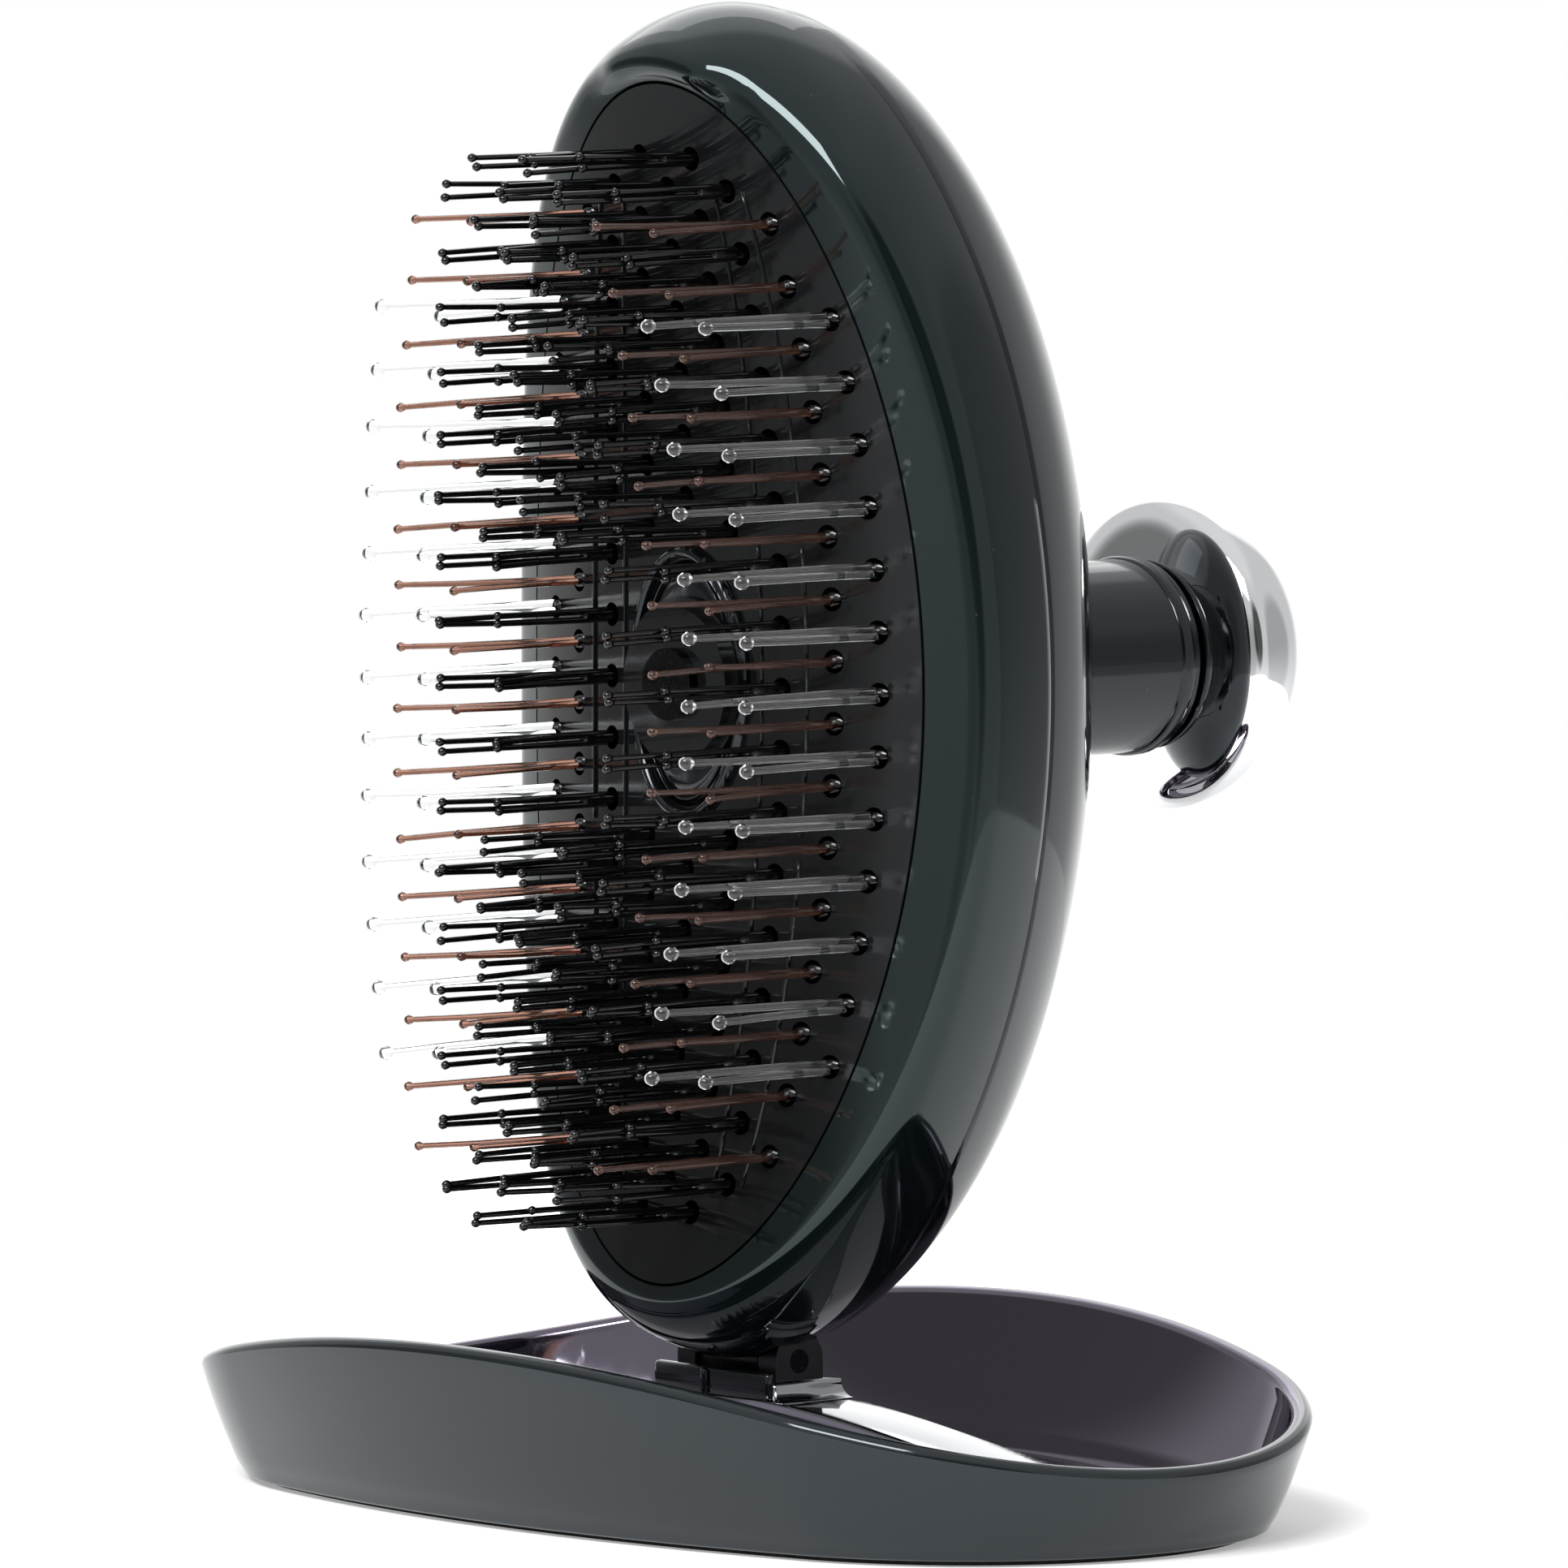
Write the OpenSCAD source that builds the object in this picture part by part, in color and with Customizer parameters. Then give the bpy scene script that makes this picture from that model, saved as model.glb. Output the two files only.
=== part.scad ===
// Oval hairbrush that stands on its own mirror tray.
// The tray is a flared oval dish with a saddle-shaped rim and a mirror on its floor. An arched
// bridge spans the dish lengthwise and lifts about a pin at one end. The brush head tilts on a
// hinge block at the middle of the bridge. A round knob on a stem behind the head pushes the
// perforated face forward over the fixed pins to clear them, and a spring brings it back.
// Frame: +Z up, X along the tray, pins point to -Y, knob to +Y. The origin is on the foot's
// underside, at the middle of the tray.

/* [Tray] */
// Length of the tray at the tips of its rim
tray_len = 110; // [104:1:118]
// Width of the tray at its foot
base_wid = 56; // [54.8:0.4:57.2]
// Length of the tray at its foot
base_len = 103.6; // [101.2:0.4:104.8]
// Height of the rim at the middle of the long sides
rim_h = 15.5; // [14.5:0.1:16]
// Radius of the long curve that dips the rim towards the tips
rim_curve_r = 200; // [180:1:260]
// Radius of the flared wall's bulge
flare_r = 55; // [50:1:90]
// Wall of the tray
tray_wall = 1.8; // [1.4:0.1:2.2]
// Floor of the tray
tray_floor = 1.3; // [1:0.1:1.5]
// Height by which the rubber foot lifts the tray
foot_lift = 0.5; // [0.3:0.1:0.7]
// Inset of the foot pad from the edge of the base
foot_inset = 1.6; // [1.2:0.1:3]
// Thickness of the mirror
mirror_t = 1; // [0.8:0.1:1.1]
// Width of the bezel round the mirror
bezel_w = 1.3; // [1:0.1:1.8]

/* [Bridge] */
// Width of the bridge strap
strap_wid = 7.5; // [6.5:0.1:8.5]
// Thickness of the bridge strap
strap_t = 1.4; // [1.2:0.1:1.6]
// Height of the top of the bridge above the foot
strap_top = 9.6; // [9.2:0.1:9.9]
// Height of the strap's top where it meets its hinge
strap_end = 4.5; // [4.4:0.1:4.9]
// Radius of the bridge's hinge knuckle
knuckle_r = 1.8; // [1.6:0.1:1.9]
// Radius of the bridge's hinge pin
arm_pin_r = 0.9; // [0.7:0.1:1]

/* [Tilt hinge] */
// Height of the tilt axis above the foot
tilt_h = 12.4; // [12.2:0.1:12.6]
// Radius of the tilt pin
tilt_pin_r = 1; // [0.8:0.1:1.2]
// Radius of the two ears of the hinge block
ear_r = 2.6; // [2.4:0.1:2.7]
// Thickness of each ear
ear_t = 2.2; // [1.8:0.1:2.4]
// Half the width of the tongue that the head turns on
tongue_half = 3.4; // [3:0.1:3.6]
// Thickness of each friction washer
washer_t = 0.5; // [0.4:0.1:0.6]

/* [Head] */
// Length of the head
head_len = 112.6; // [110:0.2:116]
// Width of the head
head_wid = 59.6; // [57:0.2:62]
// Depth of the back dome behind the widest outline
back_depth = 29.9; // [27:0.1:31]
// Depth to which the front bulge would close, which sets how little it narrows
front_depth = 25; // [24:1:34]
// Wall of the head's shells
shell_wall = 2.2; // [1.8:0.1:2.4]
// Gap between the head's lower tip and the foot plane
head_gap = 12.4; // [12.3:0.1:13]
// Distance of the widest outline in front of the tilt axis
outline_front = 1.9; // [1.5:0.1:2.2]
// Radius of the curve of the seam between front ring and back shell
seam_r = 180; // [160:1:240]
// Distance of the seam's middle behind the widest outline
seam_back = 10.5; // [8:0.5:12]
// Radius of the hollow long curve of the brushing face
face_r = 360; // [300:5:420]
// Radius of the crown across the brushing face
crown_r = 72; // [66:1:80]
// Height of the brushing face above the widest outline, at its middle
face_d = 4.8; // [4.6:0.1:5.2]
// Length of the perforated face plate
plate_len = 99.2; // [98:0.2:100]
// Width of the perforated face plate
plate_wid = 48.6; // [47.6:0.2:49]
// Thickness of the perforated face plate
plate_t = 1.8; // [1.5:0.1:2]

/* [Pins] */
// Distance between the rows of pins
pin_pitch = 5.12; // [5:0.02:5.14]
// Length of the long pins above the face
pin_long = 20.9; // [19:0.1:23]
// Length of the short pins above the face
pin_short = 15.2; // [14:0.1:16]
// Radius of a pin
pin_r = 0.4; // [0.35:0.05:0.45]
// Radius of the ball on a pin
ball_r = 0.6; // [0.5:0.05:0.65]
// Distance of the clear pins from the middle line
clear_x = 20.4; // [20:0.1:20.6]
// Distance of the rose pins from the middle line
rose_x = 16.1; // [15.8:0.1:16.3]
// Distance of the outer black pins from the middle line
black_x = 10.7; // [10.4:0.1:11]
// Distance between the inner black columns
inner_x = 5.3; // [5.1:0.1:5.5]

/* [Push knob] */
// Radius of the knob
knob_r = 13; // [12.5:0.1:14]
// Half the thickness of the knob
knob_half = 9.3; // [8.5:0.1:10]
// Wall of the knob's chromed cap
knob_wall = 1; // [0.8:0.1:1.4]
// Distance of the knob's middle behind the tilt axis
knob_y = 47; // [46:0.2:48]
// Radius of the knob's stem
stem_r = 8.2; // [7.6:0.1:8.4]
// Travel of the knob
press_travel = 10; // [8:0.5:10]
// Radius of the column that carries the face plate
column_r = 5; // [4:0.1:5.2]
// Radius of the round boss in the middle of the face
boss_r = 7.2; // [6:0.1:7.3]
// Height of that boss above the face
boss_h = 1.6; // [1:0.1:2]

/* [Hidden] */

$fn = 96;
FINE = 240;              // sides drawn on the large curves
BIG = 200;               // longer than any piece, for cutting tools
SEAT = 0.02;             // radial clearance of a pin or screw in its own seat
PLAY = 0.05;             // radial clearance of a running fit
SLIT = 0.25;             // gap round the face plate
REST = 0.1;              // gap under a piece that comes down on a stop

// Drop of an arc of radius r at the distance x from its crest
function drop(r, x) = r - sqrt(r * r - x * x);

// Tray wall: the arc of flare_r through the foot's edge and the tip of the rim
tip_x = tray_len / 2;
foot_x = base_len / 2;
tip_h = rim_h - drop(rim_curve_r, tip_x);
wall_run = norm([tip_x - foot_x, tip_h]);
wall_out = sqrt(flare_r * flare_r - wall_run * wall_run / 4);
// rounded, so that the walls of ends and sides meet without a step
flare_cx = foot_x - round(100 * (foot_x - (tip_x + foot_x) / 2 + wall_out * tip_h / wall_run)) / 100;
flare_cz = round(100 * (tip_h / 2 + wall_out * (tip_x - foot_x) / wall_run)) / 100;
function wall_x(z) = flare_cx + sqrt(flare_r * flare_r - (z - flare_cz) * (z - flare_cz));
base_half_wid = base_wid / 2;
floor_top = foot_lift + tray_floor;

// Oval of four arcs: the ends turn about (+-end_c, 0), the long sides about (0, +-side_c).
// The centres form a right triangle of 16 by 63 by 65 steps, which keeps every radius a round number.
oval_step = (foot_x - base_half_wid) / 14;
end_c = 16 * oval_step;
side_c = 63 * oval_step;
end_r = base_half_wid - 2 * oval_step;
side_r = end_r + 65 * oval_step;

// Bridge: hinge axis near the +X tip, arch of one cosine wave
ear_gap = 0.25;
arm_ear_t = 2.2;
ear_root = 0.4;          // depth of the ears' feet in the tray's floor
arm_x = wall_x(floor_top) - tray_wall - knuckle_r - 2;
arm_z = strap_end - 0.4;
arch_half = arm_x + 5.5;
strap_steps = 44;
function arch_z(x) = strap_end + (strap_top - strap_end) * (1 + cos(180 * x / arch_half)) / 2;

// Mirror and bezel stop short of the bridge's hinge ears
mirror_half_len = arm_x - knuckle_r - bezel_w - 1.1;
mirror_half_wid = base_half_wid - tray_wall - bezel_w - 1.2;
mirror_top = floor_top + mirror_t;

// Hinge block and head
ear_in = tongue_half + washer_t + 2 * PLAY;
ear_out = ear_in + ear_t;
knuckle_tilt_r = ear_r - 0.4;
slot_floor = tilt_h - knuckle_tilt_r - 0.15;
block_foot_x = ear_out + 1.5;
notch_r = ear_r + 0.5;
neck_y = 1.8;
neck_len = 6.4;
neck_top = tilt_h + neck_len;
tip_fill = 7.6;            // solid tip of the head, which the tongue's screw rests on
head_floor = head_gap + tip_fill;
head_a = head_len / 2;
head_b = head_wid / 2;
head_z = head_gap + head_a;

// Screws: shank radii, and the head of a small one
block_screw_r = 1;
tongue_screw_r = 0.9;
post_screw_r = 0.9;
centre_r = 1.5;
centre_grip = 4;         // of the centre screw, in the stem
screw_head_r = 1.7;
screw_head_h = 0.8;
thread = 2.8;            // grip of a screw in what it holds
post_r = 2.4;
post_gap = 3.64;         // from the last row of pins to the end posts
post_end = 8 * pin_pitch + post_gap;
post_mid = 2.5 * pin_pitch;
post_places = [for (y = [-post_end, -post_mid, post_mid, post_end]) [0, y]];

// Layers behind the face, as depths back from it
rail_d = plate_t + 0.6;
rail_t = 1;
carrier_d = rail_d + rail_t;
carrier_t = 1.6;
land_t = 2;
hole_r = pin_r + 0.6;
twin = 0.52;
column_len = 54.4;
rail_half = 1.1;

// Stem, flange, spring, seen as distances behind the tilt axis
outline_y = -outline_front;
apex_y = outline_y + back_depth;
sleeve_deep = 4.4;       // from the apex of the shell to the sleeve's inner end
sleeve_wall = 1.9;
sleeve_back = 0.8;       // from the apex to the sleeve's outer end
sleeve_in_y = apex_y - sleeve_deep;
flange_t = 1.6;
flange_rim = 1.5;
flange_y = sleeve_in_y - 0.2 - flange_t;
flange_r = stem_r + flange_rim;
sleeve_r = stem_r + sleeve_wall;
carrier_back_y = outline_y - (face_d - carrier_d - carrier_t);
plate_back_y = outline_y - (face_d - plate_t);
column_y = plate_back_y + drop(crown_r, column_r) + SEAT;
wire_r = 0.5;
spring_r = column_r + 2.2;
spring_turns = 6;
spring_start = carrier_back_y + drop(crown_r, spring_r + wire_r) + wire_r + PLAY;
coil_steps = 24;         // steps drawn on one turn of the coil
wire_sides = 6;
knob_face_y = knob_y - knob_half * sqrt(1 - pow(stem_r / knob_r, 2));
knob_bore_y = knob_y - 4;

// ---- shared forms ----

// The half of a form that lies at positive y, or at negative y where s is -1
module y_half(s) {
    intersection() {
        children();
        translate([-BIG, s > 0 ? 0 : -2 * BIG, -BIG]) cube(2 * BIG);
    }
}

// Oval prism from z = 0 up, given by its half length along X and half width along Y
module oval(half_len, half_wid, h) {
    for (s = [-1, 1])
        scale([1, half_wid / half_len, 1]) y_half(s) cylinder(r = half_len, h = h, $fn = FINE);
}

// Oval that runs right through the head, with its length along Y as the head's outlines have it
module long_oval(half_len, half_wid) {
    translate([0, 0, -BIG / 2]) rotate([0, 0, 90]) oval(half_len, half_wid, BIG);
}

// Keeps the piece of a form that belongs to the long side at s * Y of the four-arc oval
module side_sector(s) {
    reach = 0.5;
    intersection() {
        children();
        translate([0, 0, -1]) linear_extrude(height = BIG)
            polygon([[-end_c, 0], [end_c, 0], [end_c * (1 + reach), s * side_c * reach],
                [-end_c * (1 + reach), s * side_c * reach]]);
    }
}

// Keeps the piece of a form that belongs to the end at s * X
module end_sector(s) {
    reach = 0.5;
    intersection() {
        children();
        translate([0, 0, -1]) linear_extrude(height = BIG)
            polygon([[s * end_c, 0], [s * end_c * (1 + reach), side_c * reach], [s * BIG, side_c * reach],
                [s * BIG, -side_c * reach], [s * end_c * (1 + reach), -side_c * reach]]);
    }
}

// Flared wall turned about one of the oval's centres, with radius r at the foot, from height z0 up
module flared(r, z0) {
    rotate_extrude($fn = FINE)
        intersection() {
            translate([0, z0]) square([r + 30, rim_h + 10]);
            translate([flare_cx - foot_x + r, flare_cz]) circle(r = flare_r, $fn = FINE);
        }
}

// Solid of the flared tray, taken in by k all round, from height z0 up
module tray_solid(k, z0) {
    for (s = [-1, 1]) {
        end_sector(s) translate([s * end_c, 0, 0]) flared(end_r - k, z0);
        side_sector(s) translate([0, -s * side_c, 0]) flared(side_r - k, z0);
    }
}

// Prism on the foot's outline taken in by k, from z = 0 up
module foot_oval(k, h) {
    for (s = [-1, 1]) {
        end_sector(s) translate([s * end_c, 0, 0]) cylinder(r = end_r - k, h = h, $fn = FINE);
        side_sector(s) translate([0, -s * side_c, 0]) cylinder(r = side_r - k, h = h, $fn = FINE);
    }
}

// Moves a form drawn with its length along Y and its face up onto the standing head
module on_head() {
    translate([0, outline_y, head_z]) rotate([90, 0, 0]) children();
}

// Outer form of the head, taken in by k: two half ellipsoids on one outline
module head_form(k) {
    a = head_a - k;
    for (s = [-1, 1], depth = [back_depth, -front_depth])
        scale([(head_b - k) / a, 1, (abs(depth) - k) / a])
            intersection() {
                sphere(r = a, $fn = FINE);
                translate([-BIG / 2, s > 0 ? 0 : -BIG, depth > 0 ? -BIG : 0]) cube(BIG);
            }
}

// Hollow of the head, which leaves its lower tip solid round the hinge
module head_hollow() {
    intersection() {
        head_form(shell_wall);
        translate([-BIG / 2, tip_fill - head_a, -BIG / 2]) cube([BIG, BIG, BIG]);
    }
}

// Everything in front of the curved seam
module before_seam() {
    translate([0, 0, seam_r - seam_back]) rotate([0, 90, 0])
        cylinder(r = seam_r, h = BIG, center = true, $fn = FINE);
}

// Everything in front of the brushing face, moved back by d
module before_face(d) {
    r = face_r + d;
    translate([0, 0, face_d + face_r]) rotate([0, 90, 0])
        rotate_extrude($fn = FINE)
            difference() {
                translate([0, -BIG / 4]) square([r + 20, BIG / 2]);
                translate([r + crown_r, 0]) circle(r = crown_r, $fn = FINE);
            }
}

// Layer of a given thickness that lies d behind the face
module face_layer(d, t) {
    difference() {
        before_face(d + t);
        before_face(d);
    }
}

// Height of the face at a point of the head
function face_z(x, y) = face_d + drop(face_r, y) - drop(crown_r, x);
// A column of pins draws in towards the tips as the oval does
function column_x(x0, y) = x0 * sqrt(1 - pow(y / column_len, 2));

// Rows of the columns, in pitches from the middle
clear_rows = [for (k = [-6:6]) k];
rose_rows = [for (k = [-8:7]) k + 0.5];
black_rows = [for (k = [-8:8]) k];
inner_rows = [for (k = [-8.5:8.5]) if (abs(k) > 2) k];
middle_rows = [for (k = [-8:8]) if (abs(k) > 2) k];

// Places of the tufts of a pair of columns, or of the middle column
function tufts(x0, rows) =
    [for (k = rows, s = x0 == 0 ? [0] : [-1, 1]) [s * column_x(x0, k * pin_pitch), k * pin_pitch]];
clear_tufts = tufts(clear_x, clear_rows);
rose_tufts = tufts(rose_x, rose_rows);
black_tufts = concat(tufts(black_x, black_rows), tufts(inner_x, inner_rows), tufts(0, middle_rows));

// One ball-tipped pin from the height z0 to the height z1
module pin(z0, z1) {
    translate([0, 0, z0]) cylinder(r = pin_r, h = z1 - ball_r - z0, $fn = 16);
    translate([0, 0, z1 - ball_r]) sphere(r = ball_r, $fn = 16);
}

// Tufts of one long and one short pin each, standing on their rails
module tuft_field(places) {
    for (p = places) {
        base = face_z(p[0], p[1]) - rail_d - rail_t / 2;
        line = face_z(clear_x, p[1]);
        translate([p[0], p[1] + twin, 0]) pin(base, line + pin_long);
        translate([p[0], p[1] - twin, 0]) pin(base, line + pin_short);
    }
}

// Rail under a pair of columns, which follows their curve over the given number of rows
module rail(x0, last_row) {
    reach = last_row * pin_pitch + 1.6;
    intersection() {
        face_layer(rail_d, rail_t);
        difference() {
            long_oval(column_len, x0 + rail_half);
            if (x0 > rail_half) long_oval(column_len, x0 - rail_half);
        }
        translate([-BIG / 2, -reach, -BIG / 2]) cube([BIG, 2 * reach, BIG]);
    }
}

// The parts of a rail that lie further than y0 from the middle of the head
module clear_of_middle(y0) {
    for (s = [-1, 1])
        intersection() {
            children();
            translate([-BIG / 2, s > 0 ? y0 : -BIG - y0, -BIG / 2]) cube(BIG);
        }
}

// ---- tray ----

module tray_shell() {
    color([0.24, 0.26, 0.28]) {
        difference() {
            intersection() {
                tray_solid(0, foot_lift);
                translate([0, 0, rim_h - rim_curve_r]) rotate([90, 0, 0])
                    cylinder(r = rim_curve_r, h = BIG, center = true, $fn = FINE);
            }
            tray_solid(tray_wall, floor_top);
            foot_oval(foot_inset, 2 * foot_lift);
        }
        for (s = [-1, 1]) arm_ear(s);
    }
}

// Ear on the tray's floor that holds one end of the bridge's pin
module arm_ear(s) {
    y0 = strap_wid / 2 + ear_gap;
    translate([arm_x, s * (y0 + arm_ear_t / 2), 0])
        difference() {
            union() {
                translate([0, 0, arm_z]) rotate([90, 0, 0])
                    cylinder(r = knuckle_r + 0.3, h = arm_ear_t, center = true, $fn = 48);
                translate([-knuckle_r - 0.3, -arm_ear_t / 2, floor_top - ear_root])
                    cube([2 * knuckle_r + 0.6, arm_ear_t, arm_z - floor_top + ear_root]);
            }
            translate([0, 0, arm_z]) rotate([90, 0, 0])
                cylinder(r = arm_pin_r + SEAT, h = arm_ear_t + 2, center = true, $fn = 48);
        }
}

module foot_pad() {
    color([0.08, 0.08, 0.09])
        foot_oval(foot_inset, 2 * foot_lift);
}

module mirror_plate() {
    color([0.78, 0.8, 0.84])
        translate([0, 0, floor_top]) oval(mirror_half_len, mirror_half_wid, mirror_t);
}

module mirror_bezel() {
    h = mirror_t + 0.2;
    color([0.16, 0.12, 0.17])
        translate([0, 0, floor_top])
            difference() {
                oval(mirror_half_len + bezel_w, mirror_half_wid + bezel_w, h);
                translate([0, 0, -1]) oval(mirror_half_len, mirror_half_wid, h + 2);
            }
}

module arm_pin() {
    color([0.75, 0.76, 0.78])
        translate([arm_x, 0, arm_z]) rotate([90, 0, 0])
            cylinder(r = arm_pin_r, h = strap_wid + 2 * ear_gap + 2 * arm_ear_t, center = true, $fn = 48);
}

// Soft block that the free end of the bridge comes down on
module rest_pad() {
    color([0.1, 0.1, 0.11])
        translate([-arm_x - knuckle_r, -strap_wid / 2, floor_top])
            cube([knuckle_r + 1, strap_wid, arch_z(arm_x) - strap_t - REST - floor_top]);
}

// ---- bridge ----

// Side outline of the arched strap between its two ends
module strap_outline() {
    xs = [for (i = [0:strap_steps]) -arm_x + 2 * arm_x * i / strap_steps];
    top = [for (x = xs) [x, arch_z(x)]];
    low = [for (i = [strap_steps:-1:0]) [xs[i], arch_z(xs[i]) - strap_t]];
    polygon(concat(top, low));
}

module strap_body() {
    rotate([90, 0, 0]) linear_extrude(height = strap_wid, center = true) strap_outline();
    // flat tab at the free end
    translate([-arm_x - knuckle_r, -strap_wid / 2, arch_z(arm_x) - strap_t])
        cube([knuckle_r, strap_wid, strap_t]);
}

module arm_strap() {
    color([0.1, 0.11, 0.12])
        difference() {
            union() {
                strap_body();
                translate([arm_x, 0, arm_z]) rotate([90, 0, 0])
                    cylinder(r = knuckle_r, h = strap_wid, center = true, $fn = 48);
            }
            translate([arm_x, 0, arm_z]) rotate([90, 0, 0])
                cylinder(r = arm_pin_r + PLAY, h = strap_wid + 2, center = true, $fn = 48);
            cylinder(r = block_screw_r + SEAT, h = strap_top + 1, $fn = 32);
        }
}

module hinge_block() {
    color([0.07, 0.07, 0.08])
        difference() {
            union() {
                for (s = [-1, 1]) block_ear(s);
                // flared foot that spreads onto the strap
                rotate([90, 0, 0]) linear_extrude(height = strap_wid, center = true)
                    polygon([[-block_foot_x, strap_top - 1], [-block_foot_x, strap_top - 0.35],
                        [-ear_out - 0.4, strap_top], [-ear_out, slot_floor],
                        [ear_out, slot_floor], [ear_out + 0.4, strap_top],
                        [block_foot_x, strap_top - 0.35], [block_foot_x, strap_top - 1]]);
            }
            strap_body();
            translate([-ear_in, -BIG / 2, slot_floor]) cube([2 * ear_in, BIG, BIG]);
            translate([0, 0, tilt_h]) rotate([0, 90, 0])
                cylinder(r = tilt_pin_r + SEAT, h = BIG, center = true, $fn = 48);
            cylinder(r = block_screw_r + SEAT, h = BIG, $fn = 32);
        }
}

// One ear of the hinge block, with a straight root and a round top
module block_ear(s) {
    translate([s * (ear_in + ear_t / 2), 0, tilt_h]) rotate([0, 90, 0])
        cylinder(r = ear_r, h = ear_t, center = true, $fn = 64);
    translate([s * (ear_in + ear_t / 2) - ear_t / 2, -ear_r, strap_top - 0.5])
        cube([ear_t, 2 * ear_r, tilt_h - strap_top + 0.5]);
}

module block_screw() {
    color([0.6, 0.61, 0.63]) {
        translate([0, 0, strap_top - strap_t - screw_head_h - PLAY])
            cylinder(r = screw_head_r, h = screw_head_h, $fn = 32);
        translate([0, 0, strap_top - strap_t - PLAY])
            cylinder(r = block_screw_r, h = slot_floor - strap_top + strap_t, $fn = 32);
    }
}

module tilt_pin() {
    color([0.75, 0.76, 0.78])
        translate([0, 0, tilt_h]) rotate([0, 90, 0])
            cylinder(r = tilt_pin_r, h = 2 * ear_out, center = true, $fn = 48);
}

module tilt_washers() {
    color([0.7, 0.68, 0.6])
        for (s = [-1, 1])
            translate([s * (ear_in - PLAY / 2 - washer_t / 2), 0, tilt_h]) rotate([0, 90, 0])
                difference() {
                    cylinder(r = knuckle_tilt_r - 0.1, h = washer_t, center = true, $fn = 48);
                    cylinder(r = tilt_pin_r + SEAT, h = washer_t + 1, center = true, $fn = 48);
                }
}

// ---- head ----

module hinge_tongue() {
    color([0.09, 0.09, 0.1])
        difference() {
            union() {
                translate([0, 0, tilt_h]) rotate([0, 90, 0])
                    cylinder(r = knuckle_tilt_r, h = 2 * tongue_half, center = true, $fn = 48);
                translate([-tongue_half, -neck_y, tilt_h]) cube([2 * tongue_half, 2 * neck_y, neck_len]);
            }
            translate([0, 0, tilt_h]) rotate([0, 90, 0])
                cylinder(r = tilt_pin_r + PLAY, h = BIG, center = true, $fn = 48);
            translate([0, 0, neck_top - thread - SEAT]) cylinder(r = tongue_screw_r + SEAT, h = 4, $fn = 32);
        }
}

// Screw from inside the head down into the tongue
module tongue_screw() {
    color([0.6, 0.61, 0.63]) {
        translate([0, 0, neck_top - thread])
            cylinder(r = tongue_screw_r, h = head_floor - neck_top + thread, $fn = 32);
        translate([0, 0, head_floor]) cylinder(r = screw_head_r, h = screw_head_h, $fn = 32);
    }
}

// Cut-outs in the lower tip of the head for the hinge
module hinge_cuts() {
    translate([0, 0, tilt_h]) rotate([0, 90, 0])
        cylinder(r = notch_r, h = 2 * (ear_out + 0.4), center = true, $fn = 64);
    translate([-tongue_half, -neck_y, tilt_h - 5]) cube([2 * tongue_half, 2 * neck_y, neck_len + 5]);
    translate([0, 0, tilt_h]) cylinder(r = tongue_screw_r + SEAT, h = head_floor - tilt_h + 1, $fn = 32);
    translate([0, 0, head_floor]) cylinder(r = screw_head_r + PLAY, h = screw_head_h + PLAY, $fn = 32);
}

module back_shell() {
    color([0.09, 0.1, 0.11])
        difference() {
            on_head() {
                difference() {
                    head_form(0);
                    head_hollow();
                    before_seam();
                    translate([0, 0, -back_depth - 1]) cylinder(r = sleeve_r + SEAT, h = BIG);
                }
                for (p = post_places)
                    difference() {
                        intersection() {
                            translate([p[0], p[1], -back_depth]) cylinder(r = post_r, h = BIG / 2, $fn = 32);
                            head_form(shell_wall / 2);
                        }
                        before_face(carrier_d + carrier_t);
                        translate([p[0], p[1], face_z(p[0], p[1]) - carrier_d - carrier_t - thread - SEAT])
                            cylinder(r = post_screw_r + SEAT, h = BIG, $fn = 24);
                    }
            }
            hinge_cuts();
        }
}

module front_ring() {
    color([0.13, 0.15, 0.16])
        difference() {
            on_head()
                difference() {
                    intersection() {
                        head_form(0);
                        before_seam();
                    }
                    before_face(0);
                    difference() {
                        head_hollow();
                        before_face(land_t);
                    }
                    long_oval(plate_len / 2 + SLIT, plate_wid / 2 + SLIT);
                }
            hinge_cuts();
        }
}

module guide_sleeve() {
    color([0.05, 0.05, 0.06])
        translate([0, sleeve_in_y, head_z]) rotate([-90, 0, 0])
            difference() {
                cylinder(r = sleeve_r, h = apex_y - sleeve_in_y - sleeve_back);
                translate([0, 0, -1]) cylinder(r = stem_r + PLAY, h = BIG);
            }
}

module pin_carrier() {
    color([0.12, 0.12, 0.13])
        on_head()
            difference() {
                intersection() {
                    face_layer(carrier_d, carrier_t);
                    long_oval(plate_len / 2 - 2, plate_wid / 2 - 1);
                }
                cylinder(r = column_r + 0.3, h = BIG, center = true);
                for (p = clear_tufts)
                    translate([p[0], p[1], 0]) cylinder(r = rail_half + SEAT, h = BIG, center = true, $fn = 24);
                for (p = post_places)
                    translate([p[0], p[1], 0]) cylinder(r = post_screw_r + SEAT, h = BIG, center = true, $fn = 24);
            }
}

module carrier_screws() {
    color([0.6, 0.61, 0.63])
        on_head()
            for (p = post_places)
                translate([p[0], p[1], face_z(p[0], p[1]) - carrier_d + 0.3]) {
                    translate([0, 0, -carrier_t - thread])
                        cylinder(r = post_screw_r, h = carrier_t + thread, $fn = 24);
                    cylinder(r = screw_head_r - 0.2, h = screw_head_h - 0.2, $fn = 24);
                }
}

module black_pins() {
    color([0.04, 0.04, 0.05])
        on_head() {
            tuft_field(black_tufts);
            rail(black_x, 8);
            clear_of_middle(2 * pin_pitch) rail(inner_x, 8.5);
            clear_of_middle(2.8 * pin_pitch) rail(0, 8);
        }
}

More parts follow.
